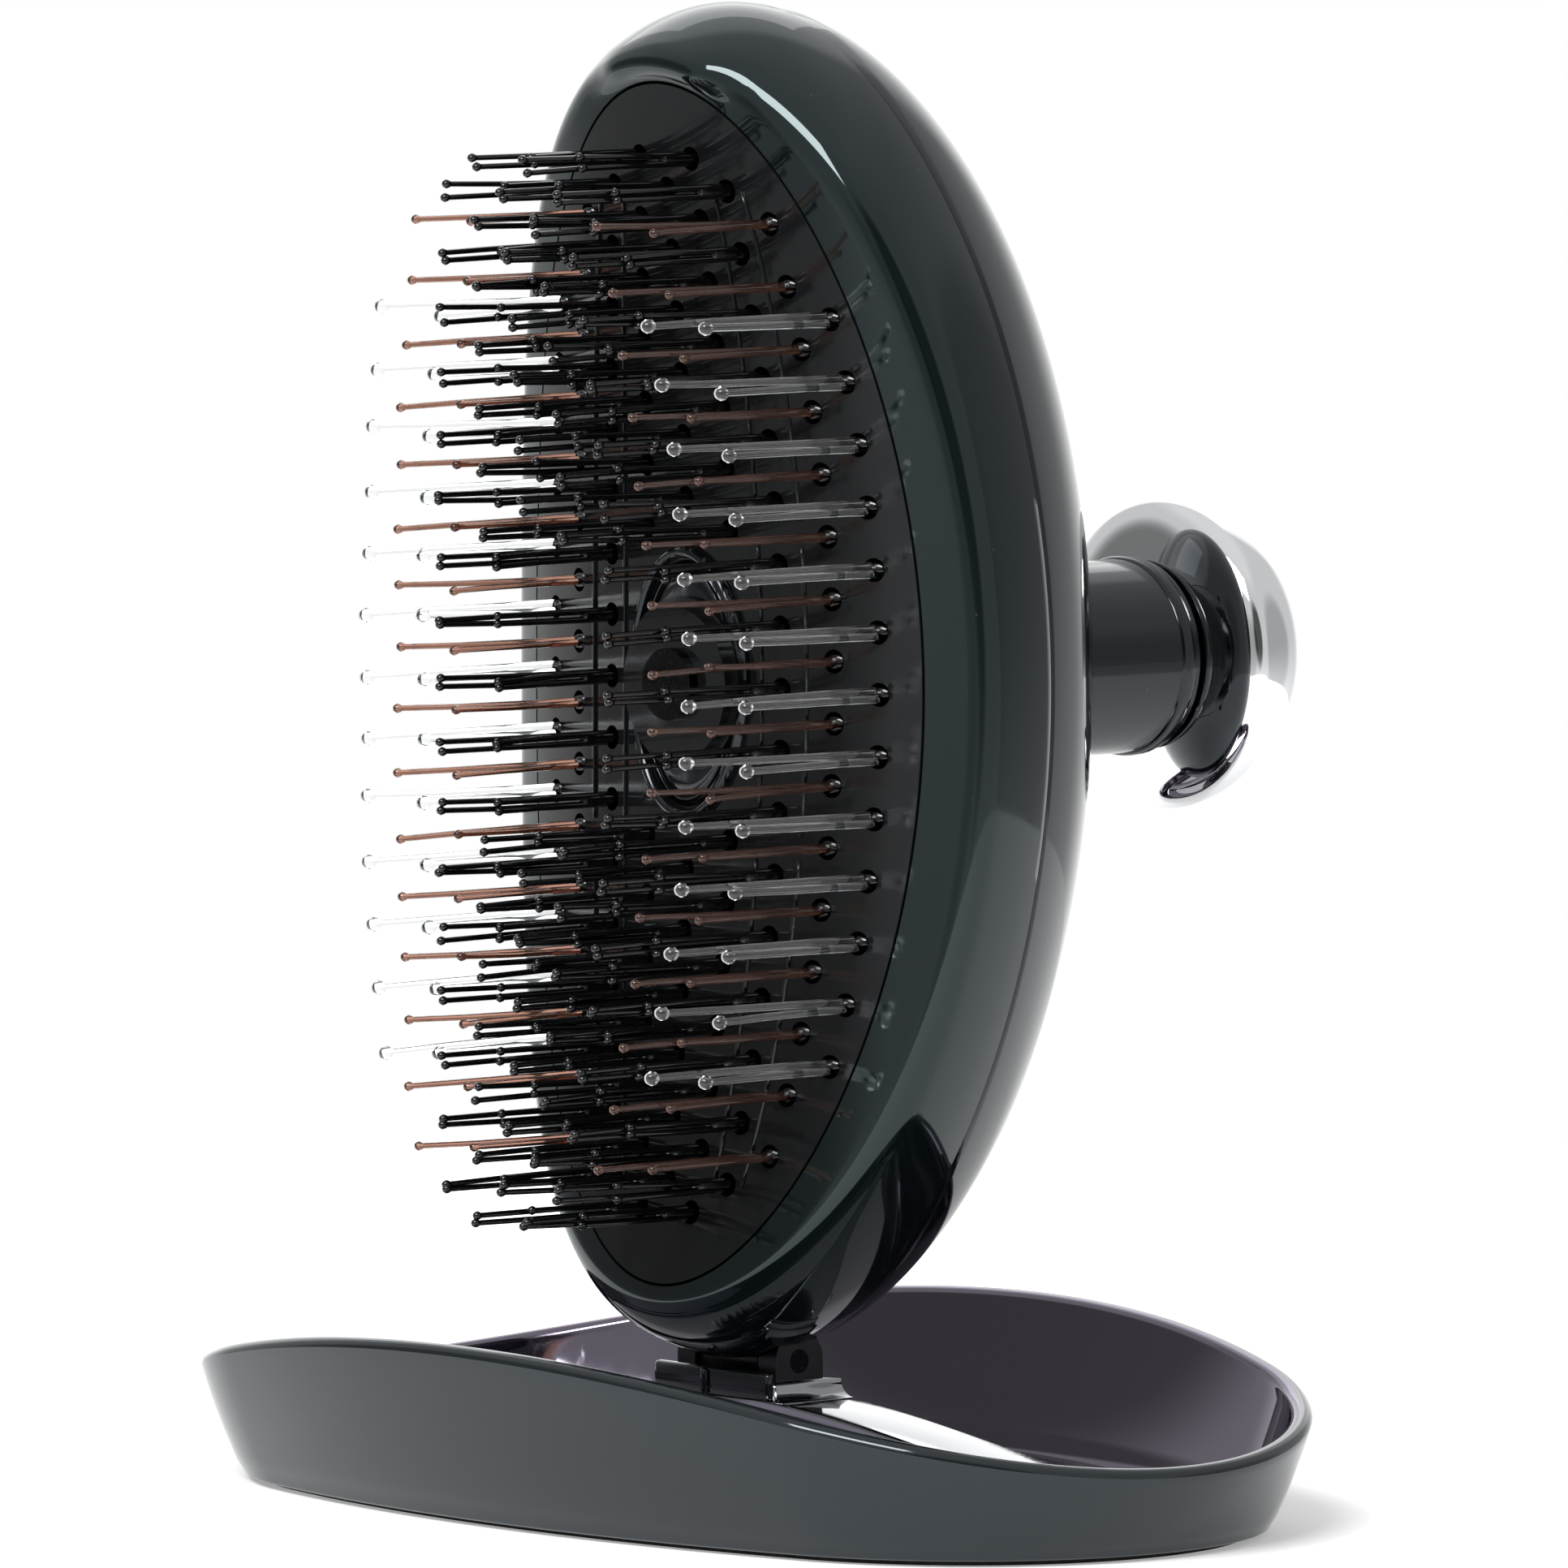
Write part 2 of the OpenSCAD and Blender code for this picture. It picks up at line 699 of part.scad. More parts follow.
module rose_pins() {
    color([0.5, 0.3, 0.26])
        on_head() {
            tuft_field(rose_tufts);
            rail(rose_x, 7.5);
        }
}

module clear_pins() {
    color([0.85, 0.88, 0.9, 0.5])
        on_head() {
            tuft_field(clear_tufts);
            // each clear tuft stands on a plug of its own in the carrier
            for (p = clear_tufts)
                translate([p[0], p[1], face_z(p[0], p[1]) - carrier_d - carrier_t / 2])
                    cylinder(r = rail_half, h = carrier_d - rail_d + carrier_t / 2, $fn = 24);
        }
}

// ---- push knob and face plate ----

module face_plate() {
    color([0.17, 0.18, 0.19])
        on_head()
            difference() {
                union() {
                    intersection() {
                        face_layer(0, plate_t);
                        long_oval(plate_len / 2, plate_wid / 2);
                    }
                    translate([0, 0, face_d - plate_t]) cylinder(r = boss_r - 0.8, h = plate_t + boss_h);
                    translate([0, 0, face_d - plate_t]) cylinder(r = boss_r, h = plate_t + boss_h - 0.8);
                }
                for (p = concat(clear_tufts, rose_tufts, black_tufts))
                    translate([p[0], p[1], 0]) cylinder(r = hole_r, h = BIG, center = true, $fn = 24);
                cylinder(r = centre_r + SEAT, h = BIG, $fn = 32);
            }
}

module centre_screw() {
    color([0.75, 0.76, 0.78])
        on_head() {
            translate([0, 0, face_d - plate_t - centre_grip])
                cylinder(r = centre_r, h = plate_t + boss_h + centre_grip, $fn = 32);
            translate([0, 0, face_d + boss_h]) cylinder(r = 3, h = 0.9, $fn = 48);
        }
}

module push_stem() {
    color([0.05, 0.05, 0.06])
        translate([0, 0, head_z]) rotate([-90, 0, 0])
            difference() {
                union() {
                    translate([0, 0, column_y]) cylinder(r = column_r, h = flange_y - column_y + 1);
                    translate([0, 0, flange_y]) cylinder(r = stem_r, h = knob_bore_y - flange_y);
                }
                translate([0, 0, plate_back_y - 1])
                    cylinder(r = centre_r + SEAT, h = 1 + centre_grip + 0.2, $fn = 32);
            }
}

module stop_flange() {
    color([0.55, 0.56, 0.58])
        translate([0, flange_y, head_z]) rotate([-90, 0, 0])
            difference() {
                cylinder(r = flange_r, h = flange_t);
                translate([0, 0, -1]) cylinder(r = stem_r + SEAT, h = BIG);
            }
}

module knob_collar() {
    color([0.05, 0.05, 0.06])
        translate([0, knob_face_y - 1.8, head_z]) rotate([-90, 0, 0])
            difference() {
                cylinder(r = stem_r + 0.8, h = 1.6);
                translate([0, 0, -1]) cylinder(r = stem_r + SEAT, h = 4);
            }
}

// Flattened ball of the knob, taken in by k, with the stem's bore in its front
module knob_form(k) {
    difference() {
        scale([1, 1, (knob_half - k) / (knob_r - k)]) sphere(r = knob_r - k);
        translate([0, 0, knob_bore_y - knob_y - 2 * knob_r]) cylinder(r = stem_r + SEAT, h = 2 * knob_r);
    }
}

module knob_core() {
    color([0.1, 0.1, 0.11])
        translate([0, knob_y, head_z]) rotate([-90, 0, 0]) knob_form(knob_wall + SEAT);
}

// Chromed cap over the core, open only where the stem goes in
module knob() {
    color([0.82, 0.83, 0.85])
        translate([0, knob_y, head_z]) rotate([-90, 0, 0])
            difference() {
                knob_form(0);
                scale([1, 1, (knob_half - knob_wall) / (knob_r - knob_wall)])
                    sphere(r = knob_r - knob_wall);
            }
}

// Compression spring wound round the column, between the carrier and the flange
module return_spring() {
    coil_len = flange_y - wire_r - PLAY - spring_start;
    steps = spring_turns * coil_steps;
    rings = [for (i = [0:steps], j = [0:wire_sides - 1])
        let(turn = 360 * i / coil_steps, side = 360 * j / wire_sides, out = spring_r + wire_r * cos(side))
        [out * cos(turn), out * sin(turn), coil_len * i / steps + wire_r * sin(side)]];
    skin = [for (i = [0:steps - 1], j = [0:wire_sides - 1])
        let(a = i * wire_sides + j, b = i * wire_sides + (j + 1) % wire_sides)
        each [[a, b, b + wire_sides], [a, b + wire_sides, a + wire_sides]]];
    ends = [for (j = [1:wire_sides - 2], e = [0, steps * wire_sides])
        e == 0 ? [0, j + 1, j] : [e, e + j, e + j + 1]];
    color([0.7, 0.71, 0.73])
        translate([0, spring_start, head_z]) rotate([-90, 0, 0])
            polyhedron(points = rings, faces = concat(skin, ends));
}

tray_shell();
foot_pad();
mirror_plate();
mirror_bezel();
arm_pin();
rest_pad();
arm_strap();
hinge_block();
block_screw();
tilt_pin();
tilt_washers();
hinge_tongue();
tongue_screw();
back_shell();
front_ring();
guide_sleeve();
pin_carrier();
carrier_screws();
black_pins();
rose_pins();
clear_pins();
face_plate();
centre_screw();
push_stem();
stop_flange();
knob_collar();
knob_core();
knob();
return_spring();
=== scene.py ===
# %% [markdown]
# # An oval hairbrush that stands on a mirror tray
# This notebook dresses a finished CAD part. The CAD solids come in as a fixed frame in metres:
# a flared tray, an arched bridge, a tilting head full of ball-tipped pins, and a chromed knob on
# a stem. Everything made here sits on that frame and rides on one of its moving bodies.

# %% Load the frame
import math
import bpy
import numpy as np
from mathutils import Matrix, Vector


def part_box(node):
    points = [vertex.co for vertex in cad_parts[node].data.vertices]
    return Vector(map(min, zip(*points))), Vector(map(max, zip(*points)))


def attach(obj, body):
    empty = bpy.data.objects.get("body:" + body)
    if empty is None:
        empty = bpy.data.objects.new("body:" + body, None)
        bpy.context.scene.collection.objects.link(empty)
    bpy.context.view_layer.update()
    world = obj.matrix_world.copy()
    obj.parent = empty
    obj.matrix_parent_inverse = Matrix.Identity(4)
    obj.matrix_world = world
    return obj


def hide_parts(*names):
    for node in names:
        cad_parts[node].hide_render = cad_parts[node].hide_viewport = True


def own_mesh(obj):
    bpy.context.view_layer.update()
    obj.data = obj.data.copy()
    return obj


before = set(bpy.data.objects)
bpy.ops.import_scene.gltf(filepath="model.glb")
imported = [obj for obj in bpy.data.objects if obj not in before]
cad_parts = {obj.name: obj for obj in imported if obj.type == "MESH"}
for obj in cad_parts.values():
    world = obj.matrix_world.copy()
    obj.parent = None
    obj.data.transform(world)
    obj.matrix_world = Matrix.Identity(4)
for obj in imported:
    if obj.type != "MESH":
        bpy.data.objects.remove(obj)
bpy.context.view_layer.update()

mm = 0.001

# %% [markdown]
# ## Camera
# The brush is seen from its front right, almost level, so that the pins, the ring, the dome and the
# knob all show. A short lens close by would stretch the oval of the head, so a long lens stands well
# over a metre away. It looks a few degrees down, which opens the tray to the eye.

# %% Camera
camera_place = (1183.16 * mm, -1029.56 * mm, 182.37 * mm)
looks_down, turned = 0.07787, 0.85291      # in radians, below level and round from +Y


def placed(name, data):
    """New object of the scene that holds a mesh, a light or a camera."""
    obj = bpy.data.objects.new(name, data)
    bpy.context.scene.collection.objects.link(obj)
    return obj


camera = placed("studio_camera", bpy.data.cameras.new("studio_camera"))
camera.location = camera_place
camera.rotation_euler = (math.pi / 2 - looks_down, 0, turned)
camera.data.sensor_width = 36
camera.data.lens = 435.77
camera.data.clip_start, camera.data.clip_end = 0.1, 20
bpy.context.scene.camera = camera
print("camera", round(camera.location.length, 3), "m from the tray, turned",
      round(math.degrees(camera.rotation_euler.z), 1), "degrees from +Y")

# %% [markdown]
# ## Colour and node helpers
# Paint cards and colour pickers give sRGB hex values, but a renderer adds light in linear values,
# so one function turns the first into the second. Another adds a shader node with its settings and
# its links. The rest are the few patterns that every finish uses: a blend, a stretched range, a
# noise with its size in millimetres, a bump. They keep each recipe below to a few readable lines.

# %% Colour and nodes
def linear(code, alpha=1.0):
    """Linear colour of an sRGB hex code: c / 12.92 up to 0.04045, else ((c + 0.055) / 1.055) ** 2.4."""
    c = np.array([int(code[i:i + 2], 16) for i in (1, 3, 5)]) / 255
    value = np.where(c <= 0.04045, c / 12.92, ((c + 0.055) / 1.055) ** 2.4)
    return (*value.tolist(), alpha)


def add(tree, kind, inputs=None, **settings):
    """Adds a node, applies its settings, and sets or links each input, given by name or number."""
    node = tree.nodes.new(kind)
    for key, value in settings.items():
        setattr(node, key, value)
    for key, value in (inputs or {}).items():
        if isinstance(value, bpy.types.NodeSocket):
            tree.links.new(value, node.inputs[key])
        else:
            node.inputs[key].default_value = value
    return node


def new_finish(name, **shader_values):
    """A material with one Principled shader, its constant values on the shader's own sockets."""
    finish = bpy.data.materials.new(name)
    finish.use_nodes = True
    tree = finish.node_tree
    tree.nodes.clear()
    place = add(tree, "ShaderNodeTexCoord").outputs["Object"]
    shader = add(tree, "ShaderNodeBsdfPrincipled", {k.replace("_", " "): v for k, v in shader_values.items()})
    add(tree, "ShaderNodeOutputMaterial", {"Surface": shader.outputs["BSDF"]})
    return finish, tree, shader, place


def blend_colours(tree, factor, first, second):
    """Colour that goes from the first hex code at 0 to the second at 1."""
    ramp = add(tree, "ShaderNodeValToRGB", {"Fac": factor})
    ramp.color_ramp.elements[0].color = linear(first)
    ramp.color_ramp.elements[1].color = linear(second)
    return ramp.outputs["Color"]


def spread(tree, value, low, high, from_low=0.3, from_high=0.7, kind="LINEAR"):
    """Stretches the range from_low..from_high of a value, by default a noise's middle, to low..high."""
    return add(tree, "ShaderNodeMapRange", {
        "Value": value, "From Min": from_low, "From Max": from_high,
        "To Min": low, "To Max": high}, interpolation_type=kind).outputs["Result"]


def maths(tree, operation, *values):
    """Result of a Math node on two or three values."""
    return add(tree, "ShaderNodeMath", dict(enumerate(values)), operation=operation).outputs["Value"]


def per_mm(size):
    """Pattern scale whose features are about `size` millimetres apart: one over the size in metres."""
    return 1.0 / (size * mm)


def noise(tree, place, size, detail):
    """Soft noise with features about `size` millimetres apart, and finer ones for each step of detail."""
    return add(tree, "ShaderNodeTexNoise", {"Vector": place, "Scale": per_mm(size),
                                            "Detail": detail}).outputs["Fac"]


def bump(tree, shader, height, strength, depth):
    """Raises the shader's normal by a pattern, `depth` millimetres from low to high."""
    raised = add(tree, "ShaderNodeBump", {"Height": height, "Strength": strength, "Distance": depth * mm})
    tree.links.new(raised.outputs["Normal"], shader.inputs["Normal"])


# %% [markdown]
# ## Moulded gloss plastic
# The shells, the ring, the face and the tray are ABS from a polished mould. Such a surface mirrors
# the room at about four per cent face on and far more at a glancing angle, so its darkness is
# really the darkness of what it mirrors. What tells the eye that it is plastic and not glass is the
# faint waviness left by shrinkage, a few millimetres from crest to crest, a trace of dust, and a
# slow change of tone. Each of them has its own wavelength in millimetres here. The inside of the
# tray has a thin metallised coat under its lacquer, which mirrors more, so its index is higher.

# %% Gloss plastic
tone_mm, haze_mm, speck_mm = 30, 1.3, 4.5
speck_core, speck_edge = 0.02, 0.035       # size of a speck, in shares of the way to the next
dust_grey = "#A9ADB0"


def gloss_plastic(name, dark, light, rough=0.09, wave_mm=7.0, wave=0.012, dust=0.05, ior=1.58,
                  tint="#E4EEF6"):
    """Polished moulding: slow tone change, hairline haze in the roughness, shrink waves in the bump."""
    finish, tree, shader, place = new_finish(name, IOR=ior, Specular_Tint=linear(tint))
    tone, haze = noise(tree, place, tone_mm, 2.0), noise(tree, place, haze_mm, 4.0)
    waves = noise(tree, place, wave_mm, 1.0)
    specks = add(tree, "ShaderNodeTexVoronoi", {"Vector": place, "Scale": per_mm(speck_mm)})
    grains = spread(tree, specks.outputs["Distance"], 1.0, 0.0, speck_core, speck_edge)
    body = blend_colours(tree, tone, dark, light)
    dusty = add(tree, "ShaderNodeMix", {0: spread(tree, grains, 0.0, dust, 0.0, 1.0), 6: body,
                                        7: linear(dust_grey)}, data_type="RGBA")
    tree.links.new(dusty.outputs[2], shader.inputs["Base Color"])
    tree.links.new(spread(tree, haze, rough * 0.75, rough * 1.3), shader.inputs["Roughness"])
    bump(tree, shader, waves, 0.5, wave)
    return finish


tray_slate = gloss_plastic("polished_abs_slate", "#161A1C", "#1B2023", rough=0.08)
tray_plum = gloss_plastic("metallised_abs_plum", "#0E0A11", "#140F18", rough=0.05, ior=3.0,
                          tint="#D8CFE4")
ring_teal = gloss_plastic("polished_abs_teal_black", "#0A1011", "#0D1516", rough=0.05, tint="#DCEEF0")
shell_black = gloss_plastic("polished_abs_black", "#0A0D0F", "#0E1214", rough=0.05)
stem_black = gloss_plastic("polished_acetal_black", "#060708", "#0B0C0D", rough=0.1, dust=0.1)
face_gloss = gloss_plastic("polished_abs_graphite", "#0F1011", "#131415", rough=0.1, wave_mm=9.0,
                           wave=0.004, dust=0.02, ior=1.5, tint="#E8ECEE")
print("gloss plastics: tray, inside of the tray, ring, shell, stem and face")

# %% [markdown]
# ## Satin and rubber
# The hinge parts and the plate that carries the pins come from a mould that was spark eroded: a
# fine, even grain that spreads a reflection into a soft glow. The grain is 0.25 mm on the real part
# and is drawn at 0.4 mm, the finest that still shows. The foot is rubber, rougher still, and its
# tone greys slightly in places at random.

# %% Satin plastic and rubber
satin_tone_mm = 18


def satin_plastic(name, dark, light, rough, grain_mm=0.4, grain=0.02, ior=1.49):
    """Spark-eroded moulding: fine grain in bump and roughness over a slow change of tone."""
    finish, tree, shader, place = new_finish(name, IOR=ior)
    tone, fine = noise(tree, place, satin_tone_mm, 3.0), noise(tree, place, grain_mm, 2.0)
    tree.links.new(blend_colours(tree, tone, dark, light), shader.inputs["Base Color"])
    tree.links.new(spread(tree, fine, rough * 0.85, rough * 1.15), shader.inputs["Roughness"])
    bump(tree, shader, fine, 0.4, grain)
    return finish


hinge_satin = satin_plastic("glass_filled_nylon_black", "#0C0D0E", "#141516", 0.32)
carrier_satin = satin_plastic("moulded_abs_black", "#151617", "#1C1D1E", 0.45)
foot_rubber = satin_plastic("moulded_rubber_black", "#0B0B0C", "#161617", 0.75, grain_mm=0.6, grain=0.05)
print("satin finishes: hinge, carrier and foot")

# %% [markdown]
# ## Pins: nylon and clear acrylic
# Ball-tipped pins are drawn hot and cut, so each is very slightly wavy. The black ones are filled
# nylon with a wet shine. The rose ones let some light through, which gives their edges a warm
# glow. The clear ones are acrylic, index 1.5, without die lines, and show mostly what is bright
# behind them.

# %% Pin plastics
pin_tone_mm, die_line_mm = 6, 0.8


def pin_plastic(name, dark, light, line_mm, **shader_values):
    """Drawn plastic: its colour changes a little from pin to pin, and it has die lines of depth `line_mm`."""
    finish, tree, shader, place = new_finish(name, **shader_values)
    tone, lines = noise(tree, place, pin_tone_mm, 1.0), noise(tree, place, die_line_mm, 2.0)
    tree.links.new(blend_colours(tree, tone, dark, light), shader.inputs["Base Color"])
    bump(tree, shader, lines, 0.25, line_mm)
    return finish


pin_black = pin_plastic("drawn_nylon_black", "#040405", "#090A0B", line_mm=0.003, IOR=1.55, Roughness=0.1)
pin_rose = pin_plastic("drawn_nylon_rose", "#8E6A5C", "#A27A6A", line_mm=0.002, IOR=1.52,
                       Roughness=0.08, Transmission_Weight=0.93)
pin_clear = pin_plastic("drawn_acrylic_clear", "#F2F6F8", "#FFFFFF", line_mm=0.0, IOR=1.5,
                        Roughness=0.0, Transmission_Weight=1.0)
print("pin plastics: black, rose and clear")

# %% [markdown]
# ## Metals and the mirror
# The knob is plated with bright chrome over plastic: almost a perfect mirror, slightly blue, with
# hairlines from wiping. The strap is polished steel, and the screws and pins are zinc-plated,
# blacked or ground steel, whose grinding marks are 0.2 to 0.3 mm apart. The mirror is silvered
# glass; its slight softness comes from finger marks.

# %% Metals
cloud_mm = 9


def metal(name, colour, other, rough, scratch_mm=0.5, depth=0.004):
    """Metal: the Principled shader at metallic 1, with fine marks in the roughness and the bump."""
    finish, tree, shader, place = new_finish(name, Metallic=1.0)
    marks, cloud = noise(tree, place, scratch_mm, 5.0), noise(tree, place, cloud_mm, 2.0)
    tree.links.new(blend_colours(tree, cloud, colour, other), shader.inputs["Base Color"])
    tree.links.new(spread(tree, marks, rough * 0.6, rough * 1.5), shader.inputs["Roughness"])
    bump(tree, shader, marks, 0.3, depth)
    return finish


chrome = metal("bright_chrome_plate", "#EFF1F3", "#F6F7F8", 0.03, depth=0.0006)
steel = metal("ground_steel", "#A9AAAC", "#B9BABC", 0.22, scratch_mm=0.2)
zinc = metal("zinc_plated_steel", "#9C9EA1", "#B2B1AA", 0.3, scratch_mm=0.3)
spring_steel = metal("oiled_spring_steel", "#8E9094", "#A3A4A6", 0.25, scratch_mm=0.25)
mirror_glass = metal("silvered_glass", "#C9C3CC", "#D2CCD5", 0.03, scratch_mm=3.0, depth=0.0005)
bezel_chrome = metal("satin_chrome_plate", "#5E5A62", "#6A666E", 0.25, depth=0.002)
strap_steel = metal("polished_strap_steel", "#8E9092", "#A2A4A6", 0.08, scratch_mm=0.6, depth=0.001)
black_oxide = metal("blacked_steel", "#1E1F21", "#2A2B2D", 0.2, scratch_mm=0.3)
print(len(bpy.data.materials), "materials so far")

# %% [markdown]
# ## Surfaces from numpy
# Each new piece is rows of closed loops: a grid of points in which a row runs once round the
# piece and the rows follow a profile. The faces of such a grid follow from its size alone. An end
# can be closed by a pole, and a grid whose rows return to the first is a closed ring.

# %% Loops to meshes
def full_turn(steps):
    """Angles once round in equal steps, without the last, which is the first again."""
    return np.linspace(0, 2 * math.pi, steps + 1)[:-1]


def skin(grid, closed_rows=False, first_pole=None, last_pole=None):
    """Points and faces of rows of closed loops, with a fan of triangles to each pole given."""
    rows, cols = grid.shape[:2]
    points = grid.reshape(-1, 3)
    r, c = np.meshgrid(np.arange(rows if closed_rows else rows - 1), np.arange(cols), indexing="ij")
    down, right = (r + 1) % rows, (c + 1) % cols
    quads = np.stack([r * cols + c, r * cols + right, down * cols + right, down * cols + c], -1)
    faces = quads.reshape(-1, 4).tolist()
    ring = np.arange(cols)
    after = (ring + 1) % cols
    if first_pole is not None:
        faces += np.stack([after, ring, 0 * ring + len(points)], -1).tolist()
        points = np.vstack([points, first_pole])
    if last_pole is not None:
        start = (rows - 1) * cols
        faces += np.stack([start + ring, start + after, 0 * ring + len(points)], -1).tolist()
        points = np.vstack([points, last_pole])
    return points, faces


def volume(points, faces):
    """Signed volume: the sum over triangles of p0 . (p1 x p2) / 6, positive when faces point outwards."""
    tri = np.array([t for f in faces for t in ((f[0], f[1], f[2]), (f[0], f[2], f[-1]))])
    p = points[tri]
    return float(np.einsum("ij,ij->i", p[:, 0], np.cross(p[:, 1], p[:, 2])).sum() / 6)


def mesh_volume(mesh):
    """Signed volume of a mesh in mm3, from its own triangles."""
    mesh.calc_loop_triangles()
    corners = np.empty(len(mesh.loop_triangles) * 3, dtype=np.int32)
    mesh.loop_triangles.foreach_get("vertices", corners)
    places = np.empty(len(mesh.vertices) * 3)
    mesh.vertices.foreach_get("co", places)
    return volume(places.reshape(-1, 3) / mm, corners.reshape(-1, 3))


def outward_mesh(name, points, faces):
    """Mesh from points in mm, its faces turned outwards."""
    if volume(points, faces) < 0:
        faces = [f[::-1] for f in faces]
    mesh = bpy.data.meshes.new(name)
    mesh.from_pydata((points * mm).tolist(), [], faces)
    return mesh


def piece(name, points, faces, body, finishes, slot, replaces=(), finish_of_face=None):
    """Smooth mesh object from points in mm, riding on a body, with its finishes."""
    mesh = outward_mesh(name, points, faces)
    for finish in finishes:
        mesh.materials.append(finish)
    mesh.polygons.foreach_set("use_smooth", np.full(len(mesh.polygons), True))
    if finish_of_face is not None:
        mesh.polygons.foreach_set("material_index", np.asarray(finish_of_face, dtype=np.int32))
    mesh.update()
    obj = placed(name, mesh)
    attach(obj, body)
    if replaces:
        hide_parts(*replaces)
    size = (points.max(0) - points.min(0)).round(1).tolist()
    print(f"{name}: {len(points)} points, {len(faces)} faces, {size} mm,",
          f"{mesh_volume(mesh):.0f} mm3 signed")
    return obj


def drop(radius, x):
    """Fall of an arc from its crest at distance x: r - sqrt(r^2 - x^2)."""
    return radius - np.sqrt(radius ** 2 - np.square(x))

# %% [markdown]
# ## Tray
# The tray is an oval dish whose outline is four arcs, two tight ones round the ends and two long
# ones along the sides. Its wall flares outwards on an arc and its rim follows a long curve, high
# at the middle of the sides and low at the ends. A point of the outline is given by the direction
# it faces, so a wall that stands `out` millimetres further is the same arc with a larger radius.
# The rim is a half circle across the wall; that small round is what catches the light.

# %% Tray outline
foot_x = 51.8                        # half the length of the foot, in mm like all sizes below
end_c, end_r = 27.2, 24.6            # centre and radius of the arcs round the ends
side_c, side_r = 107.1, 135.1        # and of the arcs along the sides
rim_h, rim_curve_r = 15.5, 200.0
flare_r, flare_cx, flare_cz = 55.0, 2.68, 24.73
wall, foot_lift, floor_top = 1.8, 0.5, 1.8


def flare(z):
    """How far the wall stands outside the foot at height z, on the arc of the flare."""
    return flare_cx + np.sqrt(flare_r ** 2 - (z - flare_cz) ** 2) - foot_x


def tray_oval(turn, out):
    """Outline point facing `turn`: arc centre plus (arc radius + out) times (cos turn, sin turn)."""
    c, s = np.cos(turn), np.sin(turn)
    on_end = np.abs(s) < side_c / math.hypot(end_c, side_c)
    centre_x = np.where(on_end, np.sign(c) * end_c, 0)
    centre_y = np.where(on_end, 0, -np.sign(s) * side_c)
    radius = np.where(on_end, end_r, side_r) + out
    return centre_x + radius * c, centre_y + radius * s


columns_round = 320                  # spaced evenly along the outline, not by angle
dense = np.linspace(0, 2 * math.pi, 20001)
path = np.stack(tray_oval(dense, 0.0), -1)
length = np.concatenate([[0], np.cumsum(np.linalg.norm(np.diff(path, axis=0), axis=1))])
turns = np.interp(np.linspace(0, length[-1], columns_round + 1)[:-1], length, dense)
# the rim's height depends on how far out it stands, and that on its height: repeat until it settles
rim_z = np.full_like(turns, rim_h)
for _ in range(30):
    rim_z = rim_h - drop(rim_curve_r, tray_oval(turns, flare(rim_z))[0])
print("tray outline", round(float(length[-1]), 1), "mm round")
print("rim from", rim_z.min().round(2), "to", rim_z.max().round(2), "mm high")

# %% [markdown]
# ## Tray dish
# The dish is one moulding with a dark violet coat inside and slate lacquer outside. Two shells
# joined at the rim would leave a seam to hide, so one profile runs from the recess of the foot pad
# up the outer wall, over the rim and down to the floor, and each of its rows is one oval loop. The
# coat ends a little way over the rim, where a mask would have held the paint back.

# %% Tray dish
round_r = wall / 2
edge = 0.35                          # radius of the foot's outer edge
fillet = 1.6                         # between the inner wall and the floor
pad_seat, pad_inset = 1.0, 1.6       # face that the foot pad is glued to, and its edge
bevel = 0.1
coat_from = 1.9                      # radians round the rim, from the outside
floor_rings = np.array([0.93, 0.8, 0.6, 0.35, 0.12])


def wall_rows():
    """Rows (out, z, coated?) from the underside up the outer wall, over the rim and down to the floor."""
    foot_out, top = flare(foot_lift), rim_z - round_r
    rows = [(-8.0, pad_seat, 0), (-pad_inset - bevel, pad_seat, 0), (-pad_inset, pad_seat - bevel, 0),
            (-pad_inset, foot_lift, 0), (foot_out - edge, foot_lift, 0)]
    for a in np.linspace(0, math.pi / 2, 5)[1:]:
        rows.append((foot_out - edge + edge * math.sin(a), foot_lift + edge - edge * math.cos(a), 0))
    for t in np.linspace(0, 1, 13)[1:]:
        z = foot_lift + edge + t * (top - foot_lift - edge)
        rows.append((flare(z), z, 0))
    for a in np.linspace(0, math.pi, 15)[1:-1]:
        out = flare(top) - round_r + round_r * math.cos(a)
        rows.append((out, top + round_r * math.sin(a), 1 if a > coat_from else 0))
    for t in np.linspace(1, 0, 13):
        z = floor_top + fillet + t * (top - floor_top - fillet)
        rows.append((flare(z) - wall, z, 1))
    for a in np.linspace(0, math.pi / 2, 8)[1:]:
        z = floor_top + fillet - fillet * math.sin(a)
        rows.append((flare(floor_top + fillet) - wall - fillet * (1 - math.cos(a)), z, 1))
    return rows


rows = wall_rows()
one = np.ones_like(turns)
dish = np.stack([np.stack([*tray_oval(turns, out * one), z * one], -1) for out, z, _ in rows])
inner = dish[-1][None] * floor_rings[:, None, None]
inner[..., 2] = floor_top
dish = np.concatenate([dish, inner])
points, faces = skin(dish, first_pole=(0, 0, pad_seat), last_pole=(0, 0, floor_top))
coated = [row[2] for row in rows[1:]] + [1] * len(inner)
of_face = np.repeat(coated, len(turns)).tolist() + [0] * len(turns) + [1] * len(turns)
piece("tray_dish", points, faces, "tray", [tray_slate, tray_plum], "tray_lacquer", ("tray_shell",), of_face)

